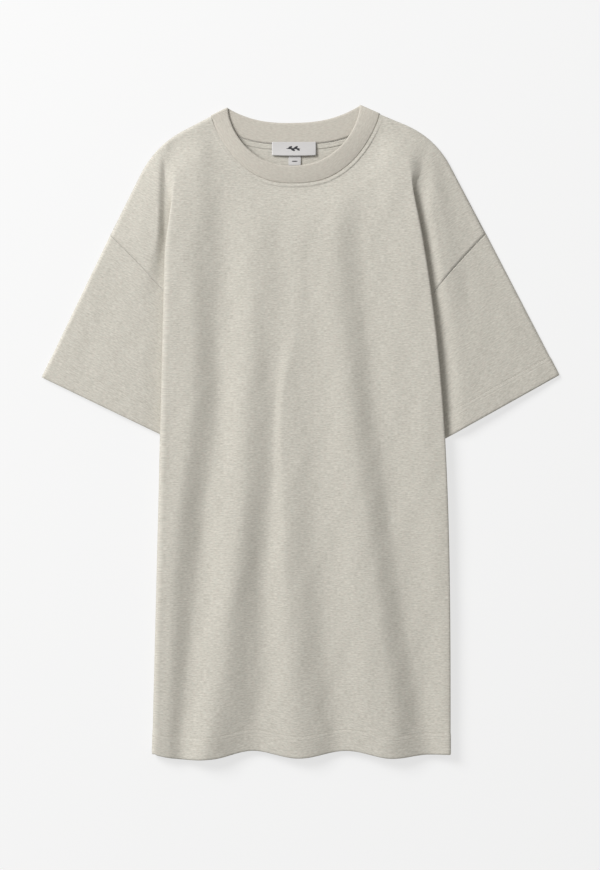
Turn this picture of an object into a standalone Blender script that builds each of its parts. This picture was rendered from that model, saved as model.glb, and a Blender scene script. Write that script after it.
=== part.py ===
"""A short-sleeved t-shirt dress laid flat, front up, with its sleeves drawn down beside the body.

Frame: +X across the garment, to the wearer's left; +Y from the hem to the neck; +Z up from the surface.
The origin is on that surface, under the middle of the garment's box. Sizes are millimetres until they
become mesh points.

Drawing the sleeves down folds each side of the body into a pleat: the cloth turns under along a lip at the
body's visible edge, runs back inside to a crease that climbs from the underarm to the tip of the pleat
below the shoulder, and turns out again to the armhole. The front does this above the sleeve and the back
does it below, so a sleeve lies between two folded layers of each panel. Sides are named for the wearer.
"""

import math
from collections import namedtuple

import bmesh
import bpy

MM = 0.001

# Cloth
CLOTH = 1.2  # heavy jersey
RIB = 2.2  # the collar's rib, folded double
TAPE = 1.0
LABEL = 1.0
SEAM_GAP = 0.3
LAYER = CLOTH + SEAM_GAP  # from one layer's middle to the next, where they lie on each other

# Lengths along the garment
HEM_Y = -440.0  # the front hem where the cloth lies low
HEM_DIP = 11.0  # how much lower it reaches at the top of the tallest fold
HEM_INNER_Y = -438.0  # the back hem and the turned-under layers, which the front covers
UNDERARM_Y = 56.0

# Heights of the middle of each layer
BACK_Z = CLOTH / 2
BACK_PLEAT_Z = BACK_Z + LAYER
ARM_BACK_Z = BACK_Z + 2 * LAYER
ARM_FRONT_Z = BACK_Z + 3 * LAYER
FRONT_PLEAT_Z = BACK_Z + 4 * LAYER
FRONT_Z = BACK_Z + 5 * LAYER
SIDE_SEAM_Z = BACK_Z + 2 * LAYER  # the front's side seam, just above the back's
SHOULDER_Z = BACK_Z + LAYER  # the front's edge along the shoulder
NECK_SIDE_Z = 3.7  # the front's edge beside the collar's folds
NECK_EDGE_Z = 6.0  # the front's edge at the middle of the collar
TALLEST_FOLD = 12.0

# Each side: where the collar seam meets the shoulder, the corner that the shoulder line would make with
# the sleeve's line and the length that rounds it, the dropped shoulder point, the cuff's outer tip and how
# steeply the cuff falls, the pleat's tip and the shoulder point above it (as a share of the way from the
# collar to the dropped shoulder), the lip at the hem and how much it bends, the underarm, and the side
# seam at the hem.
Side = namedtuple(
    "Side",
    "name toward neck corner rounding drop cuff_tip cuff_fall tip tip_share hem_lip bend underarm seam_hem",
)
RIGHT = Side(
    "right", -1, (-123, 436), (-200, 396), 45, (-262, 272), (-354.5, 75.8), 25.7,
    (-184, 352), 0.22, -204, 1.0, (-100, UNDERARM_Y), -128,
)
LEFT = Side(
    "left", 1, (109, 440), (185, 407), 45, (255.5, 274), (356.5, 79.3), 29.1,
    (147, 368), 0.18, 206, 3.3, (103, UNDERARM_Y), 133,
)
CUFF_WIDTH = 215.0  # laid flat
UNDERARM_GAP = 3.0  # the sleeve stands off the thick corner where all the seams meet
ARMHOLE_BOW = 13.0  # how far the armhole curves out from a straight line

# Neck: how much higher each curve's left end lies than its middle, half its width, its depth at the front
# and the back, how square its corners are, and how much the front's sides round
Curve = namedtuple(
    "Curve", "centre_x end_y tilt half front_depth back_depth front_power front_round back_power"
)
NECK_SEAM = Curve(-7, 438, 2, 116, 94.5, 39.5, 2.5, 0.8, 3.2)
COLLAR_EDGE = Curve(-8.5, 449.7, 1.8, 92.3, 81.7, 22.3, 2.15, 0.6, 2.5)
COLLAR_SEAM = NECK_SEAM._replace(
    end_y=NECK_SEAM.end_y + 0.4,
    half=NECK_SEAM.half - 0.9,
)
COLLAR_LOW_Z = RIB / 2
COLLAR_RISE = 6  # how sharply the collar rises from its folds
TAPE_WIDTH = 7.0
TAPE_BELOW = 1.0  # below the seam it covers
TAPE_END = math.radians(58)  # how far round the back of the neck it reaches
TAPE_COLUMNS = 16

# The folds that run down the front: the x and the lift of each crest or valley at each of these heights
FOLD_Y = (330, 183, -93, -300, -440)
Fold = namedtuple("Fold", "name x lift")
FOLDS = (
    Fold("crest by the right lip", (-168, -168, -177, -190, -194), (7, 9, 8, 5, 7)),
    Fold("right valley", (-108, -121, -135, -162, -176), (3, 0, 0, 2, 9)),
    Fold("right crest", (-72, -70, -85, -108, -132), (6, 9, 11, 12, 12)),
    Fold("inner right valley", (-42, -31, -52, -64, -68), (4, 4, 1, 0, 0)),
    Fold("middle crest", (-14, -10, -17, -10, -2), (5, 6, 8, 10, 12)),
    Fold("inner left valley", (6, 10, 12, 34, 66), (5, 5, 4, 2, 0)),
    Fold("left crest", (34, 48, 75, 106, 125), (6, 9, 9, 10, 12)),
    Fold("left valley", (79, 82, 117, 144, 179), (1, 1, 1, 2, 5)),
    Fold("crest by the left lip", (137, 162, 190, 198, 202), (7, 8, 7, 6, 8)),
)
LIP_RISE = 10.0  # the cloth climbs from the lip to its first crest in this width
FOLD_FADE = 60.0  # folds fade out over this length below the shoulder and the collar
EDGE_FALL = 40.0  # and the front comes down to its edges over this length

# Loft of the sleeves, which lie lower beside the body than across their middles
SLEEVE_PUFF = 6.5
SLEEVE_EDGE = 26.0
FREE_FROM = 24.0  # the cloth beside the body starts to fall to the surface this far from the lip
FREE_BY = 48.0
CLEAR_FROM = 30.0  # the front's turned-under cloth starts to fall this far past the sleeve's underarm seam
CLEAR_BY = 60.0

# Mesh: rows from the hem up, and columns across
ROWS_SKIRT = 9
ROWS_PLEAT = 8
ROWS_YOKE = 2
PLEAT_COLUMNS = ROWS_PLEAT + 2  # the crease, which is two columns wide, moves by one at each row
UNDERARM_ROW = ROWS_SKIRT
TIP_ROW = ROWS_SKIRT + ROWS_PLEAT
TOP_ROW = TIP_ROW + ROWS_YOKE
STEP_COLUMNS = 3  # the columns that share the step at the pleat's tip
YOKE_SIDE, YOKE_MIDDLE = 58.0, 34.0  # how deep the rows above the tip are, at the lips and at the middle
NECK_FROM, NECK_TO = 0.155, 0.886  # the collar's share of the width between the lips
NECK_COLUMNS = 20
COLUMNS_FRONT = ((0, 0.012, 0.035, 0.08), (0.93, 0.965, 0.988, 1))
COLUMNS_BACK = ((0, 0.05), (0.95, 1))
SLEEVE_COLUMNS = ROWS_PLEAT + ROWS_YOKE  # they meet the panels' rows at the armhole
SLEEVE_ROWS = 8

Label = namedtuple("Label", "name x top_y width height top_z bow")
LABELS = (
    Label("main_label", -9, 400.5, 61, 18, 3.6, 1.2),
    Label("size_label", -8, 390, 17, 23, 2.3, 0.3),
)
LABEL_ROWS = 4

COLOURS = {
    "jersey": ((0.55, 0.53, 0.47), 0.95),
    "rib": ((0.53, 0.50, 0.45), 0.95),
    "label": ((0.72, 0.72, 0.74), 0.6),
}


def mix(a, b, t):
    return a + (b - a) * t


def mix_points(p, q, t):
    return tuple(mix(a, b, t) for a, b in zip(p, q))


def ease(t):
    """0 below 0, 1 above 1 and smooth between."""
    t = min(1.0, max(0.0, t))
    return t * t * (3 - 2 * t)


def along_table(places, values, at):
    """A smooth curve through values given at falling places, level beyond both ends."""
    if at >= places[0]:
        return values[0]
    for n in range(len(places) - 1):
        if at >= places[n + 1]:
            break
    else:
        return values[-1]
    before, after = values[max(n - 1, 0)], values[min(n + 2, len(values) - 1)]
    here, there = values[n], values[n + 1]
    t = (places[n] - at) / (places[n] - places[n + 1])
    lean_here, lean_there = (there - before) / 2, (after - here) / 2
    return (
        here * (2 * t**3 - 3 * t**2 + 1)
        + lean_here * (t**3 - 2 * t**2 + t)
        + there * (3 * t**2 - 2 * t**3)
        + lean_there * (t**3 - t**2)
    )


def lip_x(side, y):
    """The visible edge of the body, where the cloth turns under."""
    hem = HEM_Y - HEM_DIP / 2
    t = min(1.0, max(0.0, (y - hem) / (side.tip[1] - hem)))
    return mix(side.hem_lip, side.tip[0], t**side.bend)


def shoulder_point(side, share):
    """A point on the shoulder's outline, from the collar seam (0) to the dropped shoulder (1)."""
    first = math.dist(side.neck, side.corner)
    second = math.dist(side.corner, side.drop)
    start = mix_points(side.corner, side.neck, side.rounding / first)
    end = mix_points(side.corner, side.drop, side.rounding / second)
    straight, bend, rest = first - side.rounding, math.dist(start, end), second - side.rounding
    along = share * (straight + bend + rest)
    if along <= straight:
        return mix_points(side.neck, start, along / straight)
    if along >= straight + bend:
        return mix_points(end, side.drop, (along - straight - bend) / rest)
    t = (along - straight) / bend
    return mix_points(mix_points(start, side.corner, t), mix_points(side.corner, end, t), t)


def armhole_point(side, share):
    """A point on the armhole seam, from the underarm (0) to the dropped shoulder (1)."""
    x, y = mix_points(side.underarm, side.drop, share)
    across, along = abs(side.drop[0] - side.underarm[0]), side.drop[1] - side.underarm[1]
    bow = ARMHOLE_BOW * math.sin(math.pi * share) / math.hypot(across, along)
    return x - side.toward * along * bow, y + across * bow


def cuff_point(side, share):
    """A point on the cuff, from its tip (0) to the underarm seam (1)."""
    fall = math.radians(side.cuff_fall)
    return (
        side.cuff_tip[0] - side.toward * CUFF_WIDTH * share * math.cos(fall),
        side.cuff_tip[1] - CUFF_WIDTH * share * math.sin(fall),
    )


def neck_curve(curve, angle, front):
    """Give the x and y of a neck curve at an angle from its middle."""
    u = math.sin(angle)
    if front:
        drop = curve.front_depth * max(0.0, 1 - abs(u) ** curve.front_power) ** curve.front_round
    else:
        drop = curve.back_depth * (1 - abs(u) ** curve.back_power)
    return curve.centre_x + curve.half * u, curve.end_y + curve.tilt * u - drop


def lift(x, y):
    """How far the folds raise the front above its lowest level."""
    xs = [lip_x(RIGHT, y), *(along_table(FOLD_Y, f.x, y) for f in FOLDS), lip_x(LEFT, y)]
    lifts = [0.0, *(along_table(FOLD_Y, f.lift, y) for f in FOLDS), 0.0]
    xs[1] = max(xs[1], xs[0] + LIP_RISE)
    xs[-2] = min(xs[-2], xs[-1] - LIP_RISE)
    if x <= xs[0] or x >= xs[-1]:
        return 0.0
    for n in range(len(xs) - 1):
        if x <= xs[n + 1]:
            return mix(lifts[n], lifts[n + 1], ease((x - xs[n]) / max(xs[n + 1] - xs[n], 1e-6)))
    return 0.0


def freed(side, x, y):
    """0 under the body and close beside it, 1 where the cloth of a sleeve lies on the surface."""
    outside = side.toward * (x - lip_x(side, y))
    return ease((outside - FREE_FROM) / (FREE_BY - FREE_FROM))


def edge_distance(side, x, y):
    """How far inside the sleeve's upper edge a point lies."""
    dx, dy = side.cuff_tip[0] - side.drop[0], side.cuff_tip[1] - side.drop[1]
    return abs(dx * (y - side.drop[1]) - dy * (x - side.drop[0])) / math.hypot(dx, dy)


def arm_front_z(side, x, y):
    """The upper layer of a sleeve and of the panel that it is sewn to."""
    loft = SLEEVE_PUFF * ease(edge_distance(side, x, y) / SLEEVE_EDGE)
    return mix(ARM_FRONT_Z, BACK_Z + LAYER + loft, freed(side, x, y))


def arm_back_z(side, x, y):
    """The lower layer, which rests on the surface beside the body and on the back's pleat under it."""
    return mix(ARM_BACK_Z, BACK_Z, freed(side, x, y))


def below_sleeve(side, x, y):
    """0 where the sleeve lies between the panels and 1 well past its underarm seam."""
    u, c = side.underarm, cuff_point(side, 1)
    past = (u[1] - c[1]) * (x - u[0]) - (u[0] - c[0]) * (y - u[1])
    past *= -side.toward / math.dist(u, c)
    return ease((past - CLEAR_FROM) / (CLEAR_BY - CLEAR_FROM))


def row_y(row, top, tip_y):
    """The height of a row on a column that ends at top and passes the pleat's tip at tip_y."""
    if row <= UNDERARM_ROW:
        t = 1 - (1 - row / ROWS_SKIRT) ** 1.5
        return mix(HEM_Y, UNDERARM_Y, t)
    if row <= TIP_ROW:
        return mix(UNDERARM_Y, tip_y, (row - UNDERARM_ROW) / ROWS_PLEAT)
    return mix(tip_y, top, (row - TIP_ROW) / ROWS_YOKE)


def lip_point(side, row):
    """The column at the lip, which carries on up from the pleat's tip to the shoulder."""
    top = shoulder_point(side, side.tip_share)
    y = row_y(row, top[1], side.tip[1])
    if row <= TIP_ROW:
        return lip_x(side, y), y
    return mix(side.tip[0], top[0], (row - TIP_ROW) / ROWS_YOKE), y


def skirt_pleat_point(side, row, column, front):
    """A point of the turned-under cloth below the underarm, between the lip and the side seam."""
    x, y = lip_point(side, row)
    seam = mix(side.seam_hem, side.underarm[0], (y - HEM_Y) / (UNDERARM_Y - HEM_Y))
    x = mix(x, seam, (column - 1) / (PLEAT_COLUMNS - 1))
    if row == 0:
        y = HEM_INNER_Y
    if front:
        return x, y, mix(FRONT_PLEAT_Z, SIDE_SEAM_Z, below_sleeve(side, x, y))
    return x, y, BACK_PLEAT_Z


def pleat_point(side, row, column, front):
    """A point between the underarm and the pleat's tip: under to the crease, then out to the armhole."""
    lip = lip_point(side, row)
    crease = mix_points(side.underarm, side.tip, (row - UNDERARM_ROW) / ROWS_PLEAT)
    turn = TIP_ROW - row + 1
    if column <= turn:
        x, y = mix_points(lip, crease, (column - 1) / (turn - 1))
        return x, y, FRONT_PLEAT_Z if front else BACK_PLEAT_Z
    end = armhole_point(side, (row - UNDERARM_ROW) / (TOP_ROW - UNDERARM_ROW))
    x, y = mix_points(crease, end, (column - turn - 1) / max(PLEAT_COLUMNS - turn - 1, 1))
    return x, y, arm_front_z(side, x, y) if front else arm_back_z(side, x, y)


def yoke_point(side, row, column, front):
    """A point between the pleat's tip and the shoulder. At the tip the pleat is only a step."""
    up = (row - TIP_ROW) / ROWS_YOKE
    lip = lip_point(side, TIP_ROW)
    end = armhole_point(side, (row - UNDERARM_ROW) / (TOP_ROW - UNDERARM_ROW))
    stacked = max(0, column - STEP_COLUMNS) / (PLEAT_COLUMNS - STEP_COLUMNS)
    share = mix(stacked, column / PLEAT_COLUMNS, up)
    edge = shoulder_point(side, mix(side.tip_share, 1, share))
    x, y = mix_points(mix_points(lip, end, share), edge, up)
    inner, outer, rim = (
        (FRONT_Z, arm_front_z(side, x, y), SHOULDER_Z)
        if front
        else (BACK_Z, arm_back_z(side, x, y), BACK_Z)
    )
    return x, y, mix(mix(inner, outer, min(1, column / STEP_COLUMNS)), rim, up**1.5)


def pleat_row(side, row, front):
    """The points of one row from the lip's underside out to the armhole or the side seam."""
    if row < UNDERARM_ROW:
        place = skirt_pleat_point
    elif row < TIP_ROW:
        place = pleat_point
    else:
        place = yoke_point
    return [place(side, row, column, front) for column in range(1, PLEAT_COLUMNS + 1)]


def centre_columns(columns):
    """The share of the width between the lips at each column, and where the collar starts and ends."""
    right, left = columns
    middle = [mix(NECK_FROM, NECK_TO, n / NECK_COLUMNS) for n in range(NECK_COLUMNS + 1)]
    return [*right, *middle, *left], len(right), len(right) + NECK_COLUMNS


def top_point(shares, start, end, column, front):
    """Where a column ends, on the shoulder or on the neck seam."""
    if column <= start:
        t = shares[column] / NECK_FROM
        return shoulder_point(RIGHT, RIGHT.tip_share * (1 - t))
    if column >= end:
        t = (1 - shares[column]) / (1 - NECK_TO)
        return shoulder_point(LEFT, LEFT.tip_share * (1 - t))
    angle = mix(-math.pi / 2, math.pi / 2, (column - start) / (end - start))
    return neck_curve(NECK_SEAM, angle, front)


def centre_point(columns, column, row, front):
    """A point between the lips. The back lies flat, and the front lies over it in folds."""
    shares, start, end = columns
    share = shares[column]
    top = top_point(shares, start, end, column, front)
    depth = mix(YOKE_SIDE, YOKE_MIDDLE, math.sin(math.pi * share))
    y = row_y(row, top[1], top[1] - depth)
    right, left = lip_point(RIGHT, row), lip_point(LEFT, row)
    top_right = shoulder_point(RIGHT, RIGHT.tip_share)[0]
    top_left = shoulder_point(LEFT, LEFT.tip_share)[0]
    shift = top[0] - mix(top_right, top_left, share)
    x = mix(right[0], left[0], share) + shift * ease((row - UNDERARM_ROW) / (TOP_ROW - UNDERARM_ROW))
    if share in (0, 1):
        x, y = right if share == 0 else left
    if not front:
        return x, HEM_INNER_Y if row == 0 else y, BACK_Z
    raised = lift(x, y)
    on_neck = start < column < end
    angle = mix(-math.pi / 2, math.pi / 2, (column - start) / (end - start))
    risen = 1 - abs(math.sin(angle)) ** COLLAR_RISE
    edge_z = mix(NECK_SIDE_Z, NECK_EDGE_Z, risen) if on_neck else SHOULDER_Z
    below_top = top[1] - y
    z = mix(edge_z, FRONT_Z, ease(below_top / EDGE_FALL)) + raised * ease(below_top / FOLD_FADE)
    if row == 0:
        y -= HEM_DIP * raised / TALLEST_FOLD
    return x, y, z


def panel_row(columns, row, front):
    """All the points of one row of a panel, from the right armhole or side seam to the left."""
    middle = [centre_point(columns, c, row, front) for c in range(len(columns[0]))]
    return [
        *reversed(pleat_row(RIGHT, row, front)),
        *middle,
        *pleat_row(LEFT, row, front),
    ]


def finish_material(name):
    """A plain cloth material in the given colour."""
    found = bpy.data.materials.get(name)
    if found:
        return found
    material = bpy.data.materials.new(name)
    material.use_nodes = True
    colour, roughness = COLOURS[name]
    shader = material.node_tree.nodes["Principled BSDF"]
    shader.inputs["Base Color"].default_value = (*colour, 1)
    shader.inputs["Roughness"].default_value = roughness
    return material


def add_object(name, mesh, material, collection):
    obj = bpy.data.objects.new(name, mesh)
    obj.data.materials.append(finish_material(material))
    collection.objects.link(obj)
    return obj


def split_pleats(grid, order, across, up):
    """Divide the faces of the pleats along the crease's direction, so that it folds cleanly."""
    for row in range(up):
        for n in range(PLEAT_COLUMNS):
            for column, lean in ((n, 0), (across - 1 - n, 1)):
                first = row * (across + 1) + column
                corners = [order[first], order[first + 1]]
                above = [order[first + across + 1], order[first + across + 2]]
                face = grid.faces.get([*corners, *reversed(above)])
                bmesh.utils.face_split(face, corners[lean], above[1 - lean])


def sheet_mesh(name, rows, closed=False, pleated=False):
    """A grid bent to the given rows of points. A closed one joins its last column to its first."""
    across = len(rows[0]) - (0 if closed else 1)
    up = len(rows) - 1
    grid = bmesh.new()
    bmesh.ops.create_grid(grid, x_segments=across, y_segments=up, size=1)
    order = sorted(grid.verts, key=lambda v: (round(v.co.y, 4), round(v.co.x, 4)))
    for n, vert in enumerate(order):
        row, column = divmod(n, across + 1)
        points = rows[row]
        vert.co = [value * MM for value in points[column % len(points)]]
    if pleated:
        split_pleats(grid, order, across, up)
    if closed:
        bmesh.ops.remove_doubles(grid, verts=grid.verts, dist=1e-6)
    mesh = bpy.data.meshes.new(name)
    grid.to_mesh(mesh)
    grid.free()
    return mesh


def add_sheet(
    name, rows, thickness, material, collection, closed=False, pleated=False, flip=False
):
    """A sheet of cloth with its wall, from the rows of its middle surface."""
    mesh = sheet_mesh(name, rows, closed, pleated)
    if flip:
        mesh.flip_normals()
    mesh.shade_smooth()
    obj = add_object(name, mesh, material, collection)
    wall = obj.modifiers.new("wall", "SOLIDIFY")
    wall.thickness = thickness * MM
    wall.offset = 0
    wall.use_even_offset = False
    return obj


def add_panels(collection):
    for name, columns, front in (("front", COLUMNS_FRONT, True), ("back", COLUMNS_BACK, False)):
        layout = centre_columns(columns)
        rows = [panel_row(layout, row, front) for row in range(TOP_ROW + 1)]
        add_sheet(name, rows, CLOTH, "jersey", collection, pleated=True)


def sleeve_ring(side, t):
    """One ring round a sleeve, t of the way from the armhole to the cuff, from its upper edge round."""
    upper, lower = [], []
    for n in range(SLEEVE_COLUMNS + 1):
        share = n / SLEEVE_COLUMNS
        seam, cuff = armhole_point(side, 1 - share), cuff_point(side, share)
        gap = mix(SEAM_GAP, UNDERARM_GAP, share**4)
        x, y = mix_points(seam, cuff, mix(gap / math.dist(seam, cuff), 1, t))
        upper.append((x, y, arm_front_z(side, x, y)))
        lower.append((x, y, arm_back_z(side, x, y)))
    return [*upper, *reversed(lower)]


def add_sleeves(collection):
    for side in (RIGHT, LEFT):
        rows = [sleeve_ring(side, n / SLEEVE_ROWS) for n in range(SLEEVE_ROWS + 1)]
        add_sheet(
            f"sleeve_{side.name}", rows, CLOTH, "jersey", collection, closed=True, flip=side is LEFT
        )


def collar_edge(curve):
    """One edge of the collar, all the way round: the front from right to left, then the back."""
    points = []
    for front in (True, False):
        for n in range(NECK_COLUMNS + 1):
            turn = mix(-math.pi / 2, math.pi / 2, n / NECK_COLUMNS)
            angle = turn if front else -turn
            rise = 1 - abs(math.sin(angle)) ** COLLAR_RISE
            z = mix(NECK_SIDE_Z, NECK_EDGE_Z, rise) if front else COLLAR_LOW_Z
            points.append((*neck_curve(curve, angle, front), z))
    return points


def add_collar(collection):
    seam, edge = collar_edge(COLLAR_SEAM), collar_edge(COLLAR_EDGE)
    middle = [mix_points(a, b, 0.5) for a, b in zip(seam, edge)]
    add_sheet("collar", [seam, middle, edge], RIB, "rib", collection, closed=True, flip=True)


def add_tape(collection):
    """The narrow tape that covers the back neck seam inside, lying on the back."""
    z = CLOTH + SEAM_GAP + TAPE / 2
    upper, lower = [], []
    for n in range(TAPE_COLUMNS + 1):
        x, y = neck_curve(NECK_SEAM, mix(-TAPE_END, TAPE_END, n / TAPE_COLUMNS), False)
        upper.append((x, y - TAPE_BELOW, z))
        lower.append((x, y - TAPE_BELOW - TAPE_WIDTH, z))
    add_sheet("neck_tape", [lower, upper], TAPE, "jersey", collection)


def add_label(label, collection):
    """A woven label, sewn along its top and bowed up a little towards its lower edge."""
    rows = []
    for n in range(LABEL_ROWS + 1):
        down = 1 - n / LABEL_ROWS
        y, z = label.top_y - label.height * down, label.top_z + label.bow * down**2
        rows.append([(label.x - label.width / 2, y, z), (label.x + label.width / 2, y, z)])
    add_sheet(label.name, rows, LABEL, "label", collection)


def main():
    for obj in list(bpy.data.objects):
        bpy.data.objects.remove(obj)
    collection = bpy.data.collections.new("t_shirt_dress")
    bpy.context.scene.collection.children.link(collection)
    add_panels(collection)
    add_sleeves(collection)
    add_collar(collection)
    add_tape(collection)
    for label in LABELS:
        add_label(label, collection)


main()
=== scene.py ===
"""A short-sleeved t-shirt dress in oatmeal melange jersey, laid flat and front up on a pale surface.

Frame: +X across the dress to the wearer's left, +Y from the hem to the neck, +Z up from the surface. The
forms are worked out in millimetres and become metres when a mesh is made. Sides are named for the wearer.

The sleeves are drawn down beside the body, so each side of each panel is a pleat: the cloth turns under at
a lip, runs back inside to a crease, and turns out again to the armhole, with the sleeve between the front's
pleat and the back's.
"""

import logging
import math
from dataclasses import dataclass
from enum import Enum
from typing import Callable, Sequence
import bmesh
import bpy
import numpy as np
from mathutils import Matrix, Vector


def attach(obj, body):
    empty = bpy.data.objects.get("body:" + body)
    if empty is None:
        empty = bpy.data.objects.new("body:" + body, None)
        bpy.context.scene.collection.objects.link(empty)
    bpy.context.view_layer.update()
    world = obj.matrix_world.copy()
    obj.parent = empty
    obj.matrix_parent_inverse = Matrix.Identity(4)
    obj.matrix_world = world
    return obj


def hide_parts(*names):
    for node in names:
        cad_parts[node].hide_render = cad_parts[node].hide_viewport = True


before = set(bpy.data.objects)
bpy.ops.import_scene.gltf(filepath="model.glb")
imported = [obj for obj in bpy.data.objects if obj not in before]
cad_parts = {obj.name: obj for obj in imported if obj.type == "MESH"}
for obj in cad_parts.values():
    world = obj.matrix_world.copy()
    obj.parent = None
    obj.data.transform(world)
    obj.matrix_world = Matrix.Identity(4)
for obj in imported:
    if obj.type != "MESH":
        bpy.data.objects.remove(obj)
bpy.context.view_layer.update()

LOG = logging.getLogger("dress")
MM = 0.001
BODY = "root"

Array = np.ndarray
Point = tuple[float, float]
Colour = tuple[float, float, float]
Socket = bpy.types.NodeSocket
HeightField = Callable[[Array, Array], Array]


# ---------------------------------------------------------------- small maths


def mix(a: Array | float, b: Array | float, t: Array | float) -> Array | float:
    """Go from a to b as t goes from 0 to 1."""
    return a + (b - a) * t


def ease(t: Array | float) -> Array:
    """Rise from 0 to 1 with level ends, and stay level outside."""
    t = np.clip(t, 0.0, 1.0)
    return t * t * (3 - 2 * t)


def rounded(t: Array | float) -> Array:
    """Rise like a quarter round, steep at 0 and level at 1."""
    t = np.clip(t, 0.0, 1.0)
    return np.sqrt(1 - (1 - t) ** 2)


def hump(d: Array | float, width: float) -> Array:
    """A soft hump, 1 at d = 0 and almost gone at twice the width."""
    return np.exp(-((np.asarray(d) / width) ** 2))


def through(stations: Sequence[float], values: Sequence[float], at: Array) -> Array:
    """Follow a smooth curve through values given at rising stations.

    Args:
        stations: Where the values stand, rising.
        values: The value at each station.
        at: Where to read the curve; beyond the ends it is level.

    Returns:
        The curve's value at each place.
    """
    s, v = np.asarray(stations, float), np.asarray(values, float)
    at = np.clip(at, s[0], s[-1])
    n = np.clip(np.searchsorted(s, at, side="right") - 1, 0, len(s) - 2)
    span = s[n + 1] - s[n]
    t = (at - s[n]) / span
    lean = np.gradient(v, s)
    return (
        v[n] * (2 * t**3 - 3 * t**2 + 1)
        + lean[n] * span * (t**3 - 2 * t**2 + t)
        + v[n + 1] * (3 * t**2 - 2 * t**3)
        + lean[n + 1] * span * (t**3 - t**2)
    )


def distance_to(x: Array, y: Array, line: Array) -> Array:
    """Measure how far points are from a line.

    Args:
        x: The points' x.
        y: The points' y.
        line: The corners of the line, one row each.

    Returns:
        The shortest distance of each point.
    """
    best = np.full(np.broadcast(x, y).shape, np.inf)
    for (ax, ay), (bx, by) in zip(line[:-1], line[1:]):
        dx, dy = bx - ax, by - ay
        t = np.clip(((x - ax) * dx + (y - ay) * dy) / (dx * dx + dy * dy), 0, 1)
        best = np.minimum(best, np.hypot(x - ax - t * dx, y - ay - t * dy))
    return best


def along(line: Array, step: float) -> Array:
    """Place points at even steps along a line of points in any number of dimensions."""
    lengths = np.linalg.norm(np.diff(line, axis=0), axis=1)
    run = np.concatenate([[0.0], np.cumsum(lengths)])
    at = np.arange(step / 2, run[-1], step)
    return np.stack([np.interp(at, run, line[:, k]) for k in range(line.shape[1])], axis=1)


# ---------------------------------------------------------------- the cut and how it lies


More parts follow.
